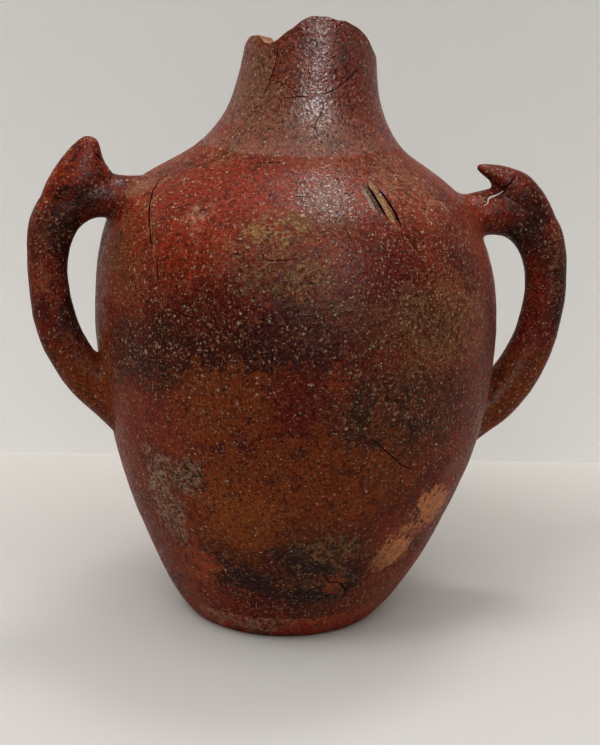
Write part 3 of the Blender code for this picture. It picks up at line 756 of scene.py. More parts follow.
def build_wall():
    """One skin for the whole jar: out from under the foot, up to the break and down inside to the floor."""
    rings, bands, weights, joints = [], [], [], {}

    def add_ring(ring, band, weight=1.0):
        rings.append(ring)
        bands.append(band)
        weights.append(weight)

    foot = turned_ring(MEASURE_STEP / 4)
    under = [Vector((point.x, point.y, 0.0)) for point in foot]
    middle = sum(under, Vector()) / len(under)
    for share in UNDERSIDE_SHARES:
        add_ring([middle + (point - middle) * share for point in under], 0, 0.0)
    last = len(WALL_NODES) - 1
    for band, (low, _) in enumerate(JOINTS[:-1]):
        if band:
            joints[f"joint_{band:02d}"] = [len(rings)]
        else:
            low = FOOT_EDGE
        for height in steps(low, JOINTS[band + 1][0], OUTER_SPACING if band else FOOT_SPACING):
            add_ring(turned_ring(height), band, min(height / FOOT_CALM, 1.0))
    joints[f"joint_{last:02d}"] = [len(rings)]
    for share in NECK_SHARES:
        add_ring(neck_ring(share, False), last)
    outer_lip = neck_ring(1.0, False)
    inner_lip = neck_ring(1.0, True)
    for share in LIP_SHARES:
        add_ring([first.lerp(second, share) for first, second in zip(outer_lip, inner_lip)], last)
    for share in reversed(NECK_SHARES[1:]):
        add_ring(neck_ring(share, True), last)
    for band in range(last, 0, -1):
        joints[f"joint_{band:02d}"].append(len(rings))
        for height in steps(JOINTS[band][1], JOINTS[band - 1][1] if band > 1 else FLOOR_TOP, INNER_SPACING):
            add_ring(turned_ring(height, inside=True), band - 1)
    for share in FLOOR_SHARES:
        add_ring(turned_ring(FLOOR_TOP, inside=True, share=share), 0)
    return ringed_shell("wall", rings, bands, weights, joints)


class JAR_OT_finishes(bpy.types.Operator):
    """Mix the slips, the bare clay and the plaster, with their stains measured on the frame"""

    bl_idname = "jar.finishes"
    bl_label = "Slips and clays"

    def execute(self, context):
        finish = context.scene.jar_finish
        weathered_clay("burnished red slip", BURNISHED_SLIP, finish)
        weathered_clay("handled neck slip", NECK_SLIP, finish)
        weathered_clay("scuffed foot slip", FOOT_CLAY, finish)
        weathered_clay("dark red slip", HANDLE_SLIP, finish)
        weathered_clay("broken bare clay", BROKEN_CLAY, finish)
        # The inside of a crack is painted almost black as painted shade, so it sends back almost no light and
        # reads as a thin black line
        crack = matt_paint("dark crack", finish.crack_shade_colour)
        crack.node_tree.nodes["Principled BSDF"].inputs["Roughness"].default_value = 1.0
        return {"FINISHED"}


class JAR_OT_wall(bpy.types.Operator):
    """Model the foot, the nine coils, the neck coil and the broken neck"""

    bl_idname = "jar.wall"
    bl_label = "Wall and neck"

    def execute(self, context):
        shape = context.scene.jar_shape
        shell = build_wall()
        smooth_out(shell, SMOOTH_LEVELS)
        unevenness(shell, WAVE_SIZE, shape.wave_depth, middle=WALL_WAVE_MIDDLE)
        unevenness(shell, DENT_SIZE, shape.dent_depth)
        unevenness(shell, GRAIN_SIZE, shape.grain_depth)
        slips = {name: bpy.data.materials["burnished red slip"] for name in COIL_NODES}
        slips["foot_disc"] = bpy.data.materials["scuffed foot slip"]
        slips["neck_coil"] = slips["broken_neck"] = bpy.data.materials["handled neck slip"]
        fracture = bpy.data.materials["broken bare clay"]
        bands = split_bands(shell)
        for number, (band, node) in enumerate(zip(bands, WALL_NODES, strict=True)):
            for joint in (number, number + 1):
                if 0 < joint < len(WALL_NODES):
                    close_joint(band, f"joint_{joint:02d}")
            slot_name = "foot_clay" if node == "foot_disc" else "burnished_red_slip"
            finish_piece(band, PIECE_NAMES[node], node, slot_name, slips[node], fracture)
        for polygon in bands[-1].data.polygons:
            if polygon.normal.z > FRACTURE_FACING:
                polygon.material_index = 1
        return {"FINISHED"}


# Handles, their roots and their spurs


def handle_plane(side):
    """Directions out along the handles' plane and square to it, on side -1 for left and 1 for right."""
    out = Vector((side * math.cos(HANDLE_PLANE_TURN), side * math.sin(HANDLE_PLANE_TURN), 0.0))
    return out, UP.cross(out)


def plane_point(pixel, side):
    """Where the camera sees a pixel on the handles' plane."""
    _, across = handle_plane(side)
    ray = pixel_ray(pixel)
    return CAMERA_PLACE + ray * ((HANDLE_CENTRE - CAMERA_PLACE).dot(across) / ray.dot(across))


def oval_ring(inner, outer, across, half_width):
    """Oval ring from its inner to its outer point, this wide square to the plane."""
    middle = (inner + outer) / 2
    ring = []
    for side in range(HANDLE_SIDES):
        turn = math.tau * side / HANDLE_SIDES
        front = across if across.y < 0 else -across
        ring.append(middle + (outer - middle) * math.cos(turn) + front * (half_width * math.sin(turn)))
    return ring


def handle_sections(node, side, gap_out, gap_height, first_turn, last_turn):
    """Sections of the frame's handle, cut by rays that fan out from the middle of its finger gap."""
    out, across = handle_plane(side)
    solid = frame_nodes(node)
    gap = HANDLE_CENTRE + out * gap_out + UP * gap_height
    sections = []
    for number in range(HANDLE_SECTIONS):
        turn = math.radians(first_turn + (last_turn - first_turn) * number / (HANDLE_SECTIONS - 1))
        ray = UP * math.cos(turn) + out * math.sin(turn)
        inner = first_hit(solid, gap, ray)[0]
        outer = first_hit(solid, gap + ray, -ray)[0]
        middle = (inner + outer) / 2
        side_hit = first_hit(solid, middle + across, -across)[0]
        sections.append(oval_ring(inner, outer, across, (side_hit - middle).dot(across)))
    return sections


def round_reach(reaches, side):
    """Reach in metres at a side line of the root, between the eight given in mm round it."""
    place = len(reaches) * side / HANDLE_SIDES
    number = int(place)
    first, second = reaches[number % len(reaches)], reaches[(number + 1) % len(reaches)]
    return (first + (second - first) * (place - number)) * MM


def root_rings(last, before, walls, reaches, turn_in):
    """Rings that flare from a handle's last section on to the wall, and two more that close them in its clay.

    turn_in bends the side lines on the handle's outer side towards the jar's axis.
    """
    middle = sum(last, Vector()) / len(last)
    ahead = (middle - sum(before, Vector()) / len(before)).normalized()
    inwards = ((HANDLE_CENTRE - middle) * Vector((1.0, 1.0, 0.0))).normalized()
    landings = []
    for side, point in enumerate(last):
        outer_share = (1 + math.cos(math.tau * side / HANDLE_SIDES)) / 2
        heading = (ahead + inwards * (turn_in * outer_share)).normalized()
        hit = first_hit(walls, point - heading * ROOT_BACK, heading)
        if not hit:
            raise RuntimeError(f"a handle's side line {side} misses the wall")
        landings.append((hit[0], hit[1]))
    centre = sum((place for place, _ in landings), Vector()) / len(landings)
    spread = []
    for side, (place, normal) in enumerate(landings):
        reach = round_reach(reaches, side)
        away = place - centre
        away = (away - normal * away.dot(normal)).normalized()
        start = place + away * reach + normal * ROOT_LIFT
        hit = first_hit(walls, start, -normal)
        spread.append(hit[:2] if hit else (place + away * reach, normal))
    rings = []
    for share in ROOT_SHARES:
        ring = []
        for point, (place, normal), (end, _) in zip(last, landings, spread):
            bend = place + normal * ROOT_PAD
            ring.append(point.lerp(bend, share).lerp(bend.lerp(end, share), share))
        rings.append(ring)
    rings.append([end - normal * ROOT_SINK for end, normal in spread])
    rings.append([end.lerp(centre, ROOT_CORE) - normal * ROOT_DEPTH for end, normal in spread])
    return rings


def build_handle(name, side, gap, turns, reaches, walls):
    """A handle as one shell from its upper root to its lower, with the roots as bands of their own."""
    sections = handle_sections(f"handle_{name}", side, *gap, *turns)
    upper = root_rings(sections[0], sections[1], walls, reaches[0], 0.0)
    lower = root_rings(sections[-1], sections[-2], walls, reaches[1], LOWER_ROOT_TURNS[name])
    rings = upper[::-1] + sections + lower
    bands = [UPPER_ROOT] * len(upper) + [BAR] * len(sections) + [LOWER_ROOT] * len(lower)
    fade = ROOT_FADE + [1.0] * (len(upper) - len(ROOT_FADE))
    weights = fade + [1.0] * len(sections) + fade[::-1]
    bands[len(upper) + len(sections) - 1] = LOWER_ROOT
    return ringed_shell(f"{name}_handle", rings, bands, weights)


def spur_shell(name, side, rows, widths):
    """A spur through rows of pixels: each row's left and right end lies on the handles' plane."""
    _, across = handle_plane(side)
    rings = []
    for (left, right), width in zip(rows, widths, strict=True):
        rings.append(oval_ring(plane_point(right, side), plane_point(left, side), across, width / 2 * MM))
    weights = [0.0] + [1.0] * (len(rings) - 1)
    return ringed_shell(name, rings, [0] * (len(rings) - 1), weights)


def visible_pieces(*nodes):
    """The finished pieces that stand for these nodes."""
    return [bpy.data.objects[PIECE_NAMES[node]] for node in nodes]


def worked_together(shell, spur):
    """Handle and spur as one skin with no crease, each face marked with its band or as the spur's."""
    bpy.ops.object.select_all(action="DESELECT")
    spur.select_set(True)
    shell.select_set(True)
    bpy.context.view_layer.objects.active = shell
    bpy.ops.object.duplicate()
    bpy.ops.object.join()
    skin = bpy.context.object
    coarser = 1.0
    apply_modifier(skin, "REMESH", mode="VOXEL", voxel_size=SKIN_MESH * coarser)
    apply_modifier(skin, "SMOOTH", factor=0.5, iterations=SKIN_SMOOTHING)
    skin.data.materials.clear()
    for number in (UPPER_ROOT, BAR, LOWER_ROOT, SPUR):
        skin.data.materials.append(bpy.data.materials.new(f"band_{number:02d}"))
    for polygon in skin.data.polygons:
        _, on_shell, _, face = shell.closest_point_on_mesh(polygon.center)
        _, on_spur, _, _ = spur.closest_point_on_mesh(polygon.center)
        off_shell = (polygon.center - on_shell).length
        if off_shell > SPUR_PROUD and (polygon.center - on_spur).length < off_shell:
            polygon.material_index = SPUR
        else:
            polygon.material_index = shell.data.polygons[face].material_index
    bpy.data.objects.remove(shell)
    bpy.data.objects.remove(spur)
    return skin


class JAR_OT_handles(bpy.types.Operator):
    """Model the two loop handles with the rolls of clay at their roots and the spurs on their crowns"""

    bl_idname = "jar.handles"
    bl_label = "Handles, roots and spurs"

    def execute(self, context):
        shape = context.scene.jar_shape
        slip = bpy.data.materials["dark red slip"]
        walls = visible_pieces(*WALL_NODES)
        for (name, side, gap, turns, reaches), (rows, widths) in zip(HANDLES, SPURS, strict=True):
            shell = build_handle(name, side, gap, turns, reaches, walls)
            smooth_out(shell, SMOOTH_LEVELS)
            unevenness(shell, WAVE_SIZE / 2, shape.wave_depth, middle=HANDLE_WAVE_MIDDLE)
            unevenness(shell, DENT_SIZE / 2, shape.dent_depth)
            spur = spur_shell(f"{name}_spur", side, rows, widths)
            smooth_out(spur, SMOOTH_LEVELS)
            unevenness(spur, DENT_SIZE / 2, shape.dent_depth)
            skin = worked_together(shell, spur)
            nodes = (f"collar_{name}_upper", f"handle_{name}", f"collar_{name}_lower", f"spur_{name}")
            for piece, node in zip(split_bands(skin), nodes, strict=True):
                close_joint(piece)
                finish_piece(piece, PIECE_NAMES[node], node, "dark_red_slip", slip)
        return {"FINISHED"}


def crack_cutter(number, line, half_width, pieces):
    """A thin wandering tube along a crack, laid where the camera sees it on these pieces."""
    pixels = []
    for first, second in zip(line, line[1:]):
        first, second = Vector(first), Vector(second)
        count = max(round((second - first).length / CRACK_STEP), 1)
        pixels += [first.lerp(second, step / count) for step in range(count)]
    pixels.append(Vector(line[-1]))
    places = []
    for place, pixel in enumerate(pixels):
        along, across, above = CRACK_WANDER_STEPS
        wander = noise.noise_vector(Vector((place * along, number * across, above))) * CRACK_WANDER
        hit = first_hit(pieces, CAMERA_PLACE, pixel_ray(pixel + wander.xy))
        if hit:
            places.append(hit[0] - hit[1] * (CRACK_SINK * half_width * MM))
    curve = bpy.data.curves.new(f"crack_{number:02d}", "CURVE")
    curve.dimensions = "3D"
    curve.bevel_depth = half_width * MM
    curve.bevel_resolution = 1
    curve.use_fill_caps = True
    spline = curve.splines.new("POLY")
    spline.points.add(len(places) - 1)
    for order, place in enumerate(places):
        spline.points[order].co = (*place, 1.0)
        inwards = min(order, len(places) - 1 - order)
        lumps = 1 + CRACK_LUMPS * noise.noise(place / CRACK_LUMP_SIZE)
        spline.points[order].radius = min(CRACK_END + CRACK_WIDENS * inwards, 1.0) * lumps
    cutter = bpy.data.objects.new(curve.name, curve)
    bpy.context.collection.objects.link(cutter)
    only(cutter)
    bpy.ops.object.convert(target="MESH")
    return bpy.context.object


def boxes_meet(first, second):
    """Whether two objects' boxes overlap."""
    boxes = []
    for obj in (first, second):
        places = [vertex.co for vertex in obj.data.vertices]
        boxes.append([(min(axis), max(axis)) for axis in zip(*places)])
    return all(one[0] <= other[1] and other[0] <= one[1] for one, other in zip(*boxes))


class JAR_OT_cracks(bpy.types.Operator):
    """Cut the cracks, the two gouges on the shoulder and the seam of the left handle's pad"""

    bl_idname = "jar.cracks"
    bl_label = "Cracks and gouges"

    def execute(self, context):
        pieces = visible_pieces(*(node for node in PIECE_NAMES if node != "repair_fill"))
        cutters = [crack_cutter(number, *row, pieces) for number, row in enumerate(CRACKS)]
        # Every crack, gouge and notch is lined with painted shade
        dark = bpy.data.materials["dark crack"]
        for cutter in cutters:
            cutter.data.materials.append(dark)
        for piece in pieces:
            near = [cutter for cutter in cutters if boxes_meet(piece, cutter)]
            if not near:
                continue
            group = bpy.data.collections.new(f"cracks_in_{piece.name}")
            for cutter in near:
                group.objects.link(cutter)
            apply_modifier(
                piece, "BOOLEAN", operation="DIFFERENCE", solver="EXACT", operand_type="COLLECTION",
                collection=group, material_mode="TRANSFER",
            )
            bpy.data.collections.remove(group)
            only(piece)
            bpy.ops.object.shade_smooth_by_angle(angle=math.radians(SHARP_DEGREES))
        for cutter in cutters:
            bpy.data.objects.remove(cutter)
        return {"FINISHED"}


class JAR_OT_repair(bpy.types.Operator):
    """Model the restorer's pale fill beside the right handle's upper root"""

    bl_idname = "jar.repair"
    bl_label = "Repair fill"

    def execute(self, context):
        _, across = handle_plane(1)
        near = ("handle_right", "collar_right_upper", "spur_right", "wall_coil_8", "wall_coil_9")
        rings = []
        for number, (pixel, width) in enumerate(FILL_LINE):
            place = first_hit(visible_pieces(*near), CAMERA_PLACE, pixel_ray(pixel))[0]
            following = FILL_LINE[min(number + 1, len(FILL_LINE) - 1)][0]
            earlier = FILL_LINE[max(number - 1, 0)][0]
            along = (pixel_ray(following) - pixel_ray(earlier)).normalized()
            toward = pixel_ray(pixel)
            side_way = along.cross(toward).normalized()
            ring = []
            for side in range(FILL_SIDES):
                turn = math.tau * side / FILL_SIDES
                spread = side_way * math.cos(turn) - toward * (FILL_FLATNESS * math.sin(turn))
                ring.append(place + spread * (width * MM))
            rings.append(ring)
        shell = ringed_shell("repair_plaster", rings, [0] * (len(rings) - 1), [1.0] * len(rings))
        smooth_out(shell, FILL_LEVELS)
        unevenness(shell, FILL_LUMP_SIZE, FILL_LUMP_DEPTH)
        shell.data.materials.clear()
        filler = plaster("hand-pressed plaster", context.scene.jar_finish.plaster_colour)
        finish_piece(shell, PIECE_NAMES["repair_fill"], "repair_fill", "repair_plaster", filler)
        return {"FINISHED"}


# Finishes


def fill_inputs(tree, node, inputs):
    """Fills or links a node's inputs by name or number; a node is linked from its first output in use."""
    for name, value in dict(inputs).items():
        if isinstance(value, bpy.types.Node):
            value = next(socket for socket in value.outputs if socket.enabled)
        if isinstance(value, bpy.types.NodeSocket):
            tree.links.new(value, node.inputs[name])
        else:
            node.inputs[name].default_value = value


def add_node(tree, kind, inputs=(), **settings):
    """Adds a node with its settings and its inputs."""
    node = tree.nodes.new(kind)
    for name, value in settings.items():
        setattr(node, name, value)
    fill_inputs(tree, node, inputs)
    return node


def new_material(name):
    """A material and its node tree."""
    material = bpy.data.materials.new(name)
    material.use_nodes = True
    return material, material.node_tree


def stain_frame(pixel, half_width, half_height, turn):
    """Where the camera sees an oval on the pot: its centre, its turn in space and its three half sizes."""
    solids = list(frame["nodes"].values())
    centre = first_hit(solids, CAMERA_PLACE, pixel_ray(pixel))[0]
    arms = []
    for reach, way in ((half_width, turn), (half_height, turn - 90)):
        step = Vector((math.cos(math.radians(way)), math.sin(math.radians(way)))) * reach
        ends = []
        for share in ARM_SHARES:
            hit = first_hit(solids, CAMERA_PLACE, pixel_ray(Vector(pixel) + step * share))
            if hit and (hit[0] - centre).length < 2 * STAIN_DEPTH:
                ends.append((hit[0] - centre) / share)
        if not ends:
            raise RuntimeError(f"the stain at {pixel} is off the pot")
        arms.append((ends[0] + ends[1]) / 2 if len(ends) == len(ARM_SHARES) else ends[0])
    across, up = arms
    side = across.normalized()
    back = up.cross(across).normalized()
    turned = Matrix((side, back, side.cross(back))).transposed()
    return centre, turned.to_euler(), Vector((across.length, STAIN_DEPTH, up.length))


def stain_mask(tree, place, mottle, row, edge, cover):
    """Mask of one oval stain: its cover inside, none outside, and an edge this soft, broken by mottling."""
    centre, turned, size = stain_frame(*row)
    oval = add_node(
        tree, "ShaderNodeMapping", {"Vector": place, "Location": centre, "Rotation": turned, "Scale": size},
        vector_type="TEXTURE",
    )
    distance = add_node(tree, "ShaderNodeVectorMath", {0: oval}, operation="LENGTH")
    distance = add_node(tree, "ShaderNodeMath", {0: distance, 1: mottle}, operation="ADD")
    limits = {"Value": distance, "From Min": 1 + edge, "From Max": 1 - edge, "To Max": cover}
    return add_node(tree, "ShaderNodeMapRange", limits, interpolation_type="SMOOTHSTEP")


def specks(tree, place, spacing, radius, share):
    """Round specks: a mask, and a random number for each speck. share may be a number or a node."""
    cells = add_node(tree, "ShaderNodeTexVoronoi", {"Vector": place, "Scale": 1 / spacing})
    chance = add_node(tree, "ShaderNodeSeparateColor", {0: cells.outputs["Color"]})
    lucky = add_node(tree, "ShaderNodeMath", {0: chance, 1: share}, operation="LESS_THAN")
    # Each speck's own size, up to the radius
    largest = radius / spacing
    sizes = {"Value": chance.outputs[1], "To Min": SPECK_SMALLEST * largest, "To Max": largest}
    reach = add_node(tree, "ShaderNodeMapRange", sizes)
    shrunk = add_node(tree, "ShaderNodeMath", {0: reach, 1: SPECK_CORE}, operation="MULTIPLY")
    limits = {"Value": cells, "From Min": reach, "From Max": shrunk}
    round_spot = add_node(tree, "ShaderNodeMapRange", limits, interpolation_type="SMOOTHSTEP")
    mask = add_node(tree, "ShaderNodeMath", {0: round_spot, 1: lucky}, operation="MULTIPLY")
    return mask, chance.outputs[2]


def drifted(tree, place, spacing, reach, detail):
    """The place moved up to half this reach by noise of this spacing, which makes edges ragged."""
    settings = {"Vector": place, "Scale": 1 / spacing, "Detail": detail, "Roughness": 0.62}
    drift = add_node(tree, "ShaderNodeTexNoise", settings).outputs["Color"]
    drift = add_node(tree, "ShaderNodeVectorMath", {0: drift, 1: (0.5, 0.5, 0.5)}, operation="SUBTRACT")
    factors = {0: drift, 1: (reach, reach, reach), 2: place}
    return add_node(tree, "ShaderNodeVectorMath", factors, operation="MULTIPLY_ADD")


def mottling(tree, ragged, flecks):
    """Blotches, how far they and the flecks break up the edges of stains, and the flecks those of lines."""
    settings = {"Vector": ragged, "Scale": 1 / BLOTCH_SIZE, "Detail": 4.0, "Roughness": 0.65}
    blotches = add_node(tree, "ShaderNodeTexNoise", settings)
    coarse, fine, fine_mottle = (
        add_node(tree, "ShaderNodeMath", {0: noise_node, 1: reach, 2: -reach / 2}, operation="MULTIPLY_ADD")
        for noise_node, reach in ((blotches, BLOTCHY_EDGE), (flecks, FLECKED_EDGE), (flecks, LINE_EDGE))
    )
    mottle = add_node(tree, "ShaderNodeMath", {0: coarse, 1: fine}, operation="ADD")
    return blotches, mottle, fine_mottle


def slip_clouds(tree, ragged, look):
    """Slip that thins and thickens in clouds, with scattered patches of other colours."""
    settings = {"Vector": ragged, "Scale": 1 / look["cloud_size"], "Detail": 3.0, "Roughness": 0.55}
    colour = add_node(tree, "ShaderNodeValToRGB", {0: add_node(tree, "ShaderNodeTexNoise", settings)})
    stops = colour.color_ramp.elements
    while len(stops) < len(look["clouds"]):
        stops.new(0.5)
    for stop, (position, hex_colour) in zip(stops, look["clouds"], strict=True):
        stop.position = position
        stop.color = rgb(hex_colour)
    for hex_colour, number, low, high, cover in look["scatter"]:
        settings = {"Vector": ragged, "W": number, "Scale": 1 / PATCH_SIZE, "Detail": 4.0, "Roughness": 0.6}
        patches = add_node(tree, "ShaderNodeTexNoise", settings, noise_dimensions="4D")
        limits = {"Value": patches, "From Min": low, "From Max": high, "To Max": cover}
        mask = add_node(tree, "ShaderNodeMapRange", limits, interpolation_type="SMOOTHSTEP")
        colour = add_node(tree, "ShaderNodeMix", {0: mask, 6: colour, 7: rgb(hex_colour)}, data_type="RGBA")
    return colour


def lay_stains(tree, colour, stains, mottle, fine_mottle, flecks, blotches, edges):
    """Lays stains on a colour, and gathers the masks of what is crusted, polished and dusty."""
    ragged, torn, uneven = edges
    crust, polish, dust = 0.0, 0.0, 0.0
    for kind, row, tint, cover in stains:
        edge, broken, raised = STAIN_KINDS[kind]
        where = {"crisp": torn, "line": uneven}.get(kind, ragged)
        mask = stain_mask(tree, where, fine_mottle if kind == "line" else mottle, row, edge, cover)
        if broken:
            limits = {"Value": flecks if broken == 1 else blotches, "From Min": 0.44, "From Max": 0.56}
            through = add_node(tree, "ShaderNodeMapRange", limits)
            mask = add_node(tree, "ShaderNodeMath", {0: mask, 1: through}, operation="MULTIPLY")
        if raised:
            crust = add_node(tree, "ShaderNodeMath", {0: mask, 1: raised, 2: crust}, operation="MULTIPLY_ADD")
        if kind == "dust":
            dust = add_node(tree, "ShaderNodeMath", {0: mask, 1: dust}, operation="ADD")
        elif kind == "clean":
            dust = add_node(tree, "ShaderNodeMath", {0: dust, 1: mask}, operation="SUBTRACT")
        elif kind == "polish":
            polish = add_node(tree, "ShaderNodeMath", {0: polish, 1: mask}, operation="ADD")
        else:
            layer = {0: mask, 6: colour, 7: rgb(CLAY_COLOURS[tint])}
            colour = add_node(tree, "ShaderNodeMix", layer, data_type="RGBA")
    return colour, crust, polish, dust


def uneven_slip(tree, colour, place, blotches, flecks):
    """Mottles a colour with darker blotches and lighter flecks. Gives it and the noise of thin slip."""
    for noise_node, low, high, cover, tint in (
        (blotches, 0.51, 0.66, 0.75, "maroon"), (flecks, 0.54, 0.68, 0.5, "tan"),
    ):
        limits = {"Value": noise_node, "From Min": low, "From Max": high, "To Max": cover}
        layer = {0: add_node(tree, "ShaderNodeMapRange", limits), 6: colour, 7: rgb(CLAY_COLOURS[tint])}
        colour = add_node(tree, "ShaderNodeMix", layer, data_type="RGBA")
    # Thin and thick slip side by side make the colour lighter and darker every millimetre or two
    settings = {"Vector": place, "Scale": 1 / THIN_SLIP_SIZE, "Detail": 2.0, "Roughness": 0.7}
    thin = add_node(tree, "ShaderNodeTexNoise", settings)
    limits = {"Value": thin, "From Min": 0.3, "From Max": 0.7, "To Min": 0.4, "To Max": 1.5}
    level = add_node(tree, "ShaderNodeMapRange", limits)
    return add_node(tree, "ShaderNodeVectorMath", {0: colour, "Scale": level}, operation="SCALE"), thin


def grit_and_pits(tree, colour, place, dust, pit_sizes, finish):
    """Grit at four sizes, denser where dust lies, and pits where grains have dropped out, darkened with
    painted shade.

    Gives the colour, the relief of the grit in metres and the mask of the pits.
    """
    relief = 0.0
    for spacing, radius, share in GRIT:
        wanted = add_node(tree, "ShaderNodeMath", {0: dust, 1: share}, operation="MULTIPLY")
        mask, chance = specks(tree, place, spacing, radius, wanted)
        grains = {0: chance, 6: tuple(finish.grit_colour), 7: tuple(finish.pale_grit_colour)}
        grain = add_node(tree, "ShaderNodeMix", grains, data_type="RGBA")
        colour = add_node(tree, "ShaderNodeMix", {0: mask, 6: colour, 7: grain}, data_type="RGBA")
        raised = {0: mask, 1: radius * GRIT_RELIEF, 2: relief}
        relief = add_node(tree, "ShaderNodeMath", raised, operation="MULTIPLY_ADD")
    pits, _ = specks(tree, place, *pit_sizes)
    # The pits are darkened with painted shade
    layer = {0: pits, 6: colour, 7: tuple(finish.pit_shade_colour)}
    return add_node(tree, "ShaderNodeMix", layer, data_type="RGBA"), relief, pits


def burnish(tree, smoothest, blotches, thin, crust, polish):
    """Roughness of the slip, which varies in blotches.

    Polished places are smoother, crusts rougher, and the burnish is worn off in dull flecks, which break up
    the highlights.
    """
    limits = {"Value": blotches, "From Min": 0.3, "From Max": 0.7, "To Min": smoothest}
    limits["To Max"] = smoothest + ROUGHNESS_RANGE
    rough = add_node(tree, "ShaderNodeMapRange", limits)
    dull = add_node(tree, "ShaderNodeMapRange", {"Value": thin, "From Min": 0.49, "From Max": 0.56})
    for mask, change in ((crust, CRUST_ROUGHENS), (polish, -POLISH_SMOOTHS), (dull, DULL_ROUGHENS)):
        rough = add_node(tree, "ShaderNodeMath", {0: mask, 1: change, 2: rough}, operation="MULTIPLY_ADD")
    return rough


def weathered_clay(name, look, finish):
    """Fired clay with clouds of slip, stains, crusts, grit and pits, as told by one of the looks."""
    material, tree = new_material(name)
    place = add_node(tree, "ShaderNodeTexCoord").outputs["Object"]
    # Stains have ragged edges from 20 mm bays down to 1 mm teeth, and grit is a little out of round
    ragged, torn, uneven = (drifted(tree, place, *edge) for edge in (BAYS, TEETH, OUT_OF_ROUND))
    # Fine noise that lets one layer show through another in flecks
    settings = {"Vector": place, "Scale": 1 / FLECK_SIZE, "Detail": 3.0, "Roughness": 0.7}
    flecks = add_node(tree, "ShaderNodeTexNoise", settings)
    blotches, mottle, fine_mottle = mottling(tree, ragged, flecks)

    colour, crust, polish, dusty = lay_stains(
        tree, slip_clouds(tree, ragged, look), look["stains"], mottle, fine_mottle, flecks, blotches,
        (ragged, torn, uneven),
    )
    colour, thin = uneven_slip(tree, colour, place, blotches, flecks)
    dust = add_node(tree, "ShaderNodeMath", {0: dusty, 1: look["dust"]}, operation="ADD")
    colour, relief, pits = grit_and_pits(tree, colour, uneven, dust, look["pits"], finish)

    # Relief in metres: grains and crusts stand up, pits go in, and the burnished skin ripples
    settings = {"Vector": place, "Scale": 1 / RIPPLE_SIZE, "Detail": 3.0, "Roughness": 0.6}
    ripples = add_node(tree, "ShaderNodeTexNoise", settings)
    lumpy = add_node(tree, "ShaderNodeMath", {0: crust, 1: flecks}, operation="MULTIPLY")
    for heights, depth in ((ripples, look["ripple"]), (pits, -PIT_DEPTH), (lumpy, CRUST_RELIEF)):
        relief = add_node(tree, "ShaderNodeMath", {0: heights, 1: depth, 2: relief}, operation="MULTIPLY_ADD")
    bump = add_node(tree, "ShaderNodeBump", {"Height": relief, "Distance": 1.0, "Strength": 1.0})
    rough = burnish(tree, finish.roughness + look["rougher"], blotches, thin, crust, polish)
    surface = {"Base Color": colour, "Roughness": rough, "Normal": bump, "Specular IOR Level": look["gloss"]}
    fill_inputs(tree, tree.nodes["Principled BSDF"], surface)
    return material


def matt_paint(name, colour, painted_shade_share=1.0):
    """Matt paint with no shine to show the lamps, and painted shade that darkens it towards the front by
    painted_shade_share.
    """
    material, tree = new_material(name)
    place = add_node(tree, "ShaderNodeTexCoord").outputs["Object"]
    depth = add_node(tree, "ShaderNodeSeparateXYZ", {0: place}).outputs["Y"]
    # Painted shade: the colour is scaled down from the backdrop towards the front
    limits = {"Value": depth, "From Min": BACKDROP_Y, "From Max": FLOOR_PAINTED_SHADE_AT, "To Min": 1.0}
    limits["To Max"] = painted_shade_share
    level = add_node(tree, "ShaderNodeMapRange", limits)
    colour_with_painted_shade = add_node(tree, "ShaderNodeVectorMath", {0: tuple(colour)[:3], "Scale": level}, operation="SCALE")
    surface = {"Base Color": colour_with_painted_shade, "Roughness": 0.9, "Specular IOR Level": 0.0}
    fill_inputs(tree, tree.nodes["Principled BSDF"], surface)
    return material


def plaster(name, colour):
    """Plaster of Paris, pressed in by hand: chalky, with no shine, so it stands out pale and flat."""
    material, tree = new_material(name)
    place = add_node(tree, "ShaderNodeTexCoord").outputs["Object"]
    settings = {"Vector": place, "Scale": 1 / PLASTER_GRAIN, "Detail": 3.0, "Roughness": 0.6}
    grains = add_node(tree, "ShaderNodeTexNoise", settings)
    limits = {"Value": grains, "From Min": 0.3, "From Max": 0.7, "To Min": 0.7, "To Max": 1.05}
    level = add_node(tree, "ShaderNodeMapRange", limits)
    factors = {0: tuple(colour)[:3], "Scale": level}
    mottled = add_node(tree, "ShaderNodeVectorMath", factors, operation="SCALE")
    bump = add_node(tree, "ShaderNodeBump", {"Height": grains, "Distance": PLASTER_RELIEF, "Strength": 1.0})
    surface = {"Base Color": mottled, "Roughness": 0.9, "Normal": bump, "Specular IOR Level": 0.1}
    fill_inputs(tree, tree.nodes["Principled BSDF"], surface)
    return material


def see_through_from_behind(material):
    """Lets views from behind the backdrop look through its back."""
    tree = material.node_tree
    back = add_node(tree, "ShaderNodeNewGeometry").outputs["Backfacing"]
    clear = add_node(tree, "ShaderNodeBsdfTransparent")
    either = add_node(tree, "ShaderNodeMixShader", {0: back, 1: tree.nodes["Principled BSDF"], 2: clear})
    tree.links.new(either.outputs[0], tree.nodes["Material Output"].inputs["Surface"])


# The stage


def flat_sheet(name, paint, **shape):
    """A flat sheet of the stage in one matt paint, as wide as the floor."""
    bpy.ops.mesh.primitive_plane_add(**shape)
    sheet = bpy.context.object
    sheet.name = name
    wider = (FLOOR_SIZE / shape["size"], 1.0, 1.0)
    bpy.ops.transform.resize(value=wider, center_override=shape["location"])
    bpy.ops.object.transform_apply(location=True, rotation=True, scale=True)
    sheet.data.materials.append(paint)
    return sheet


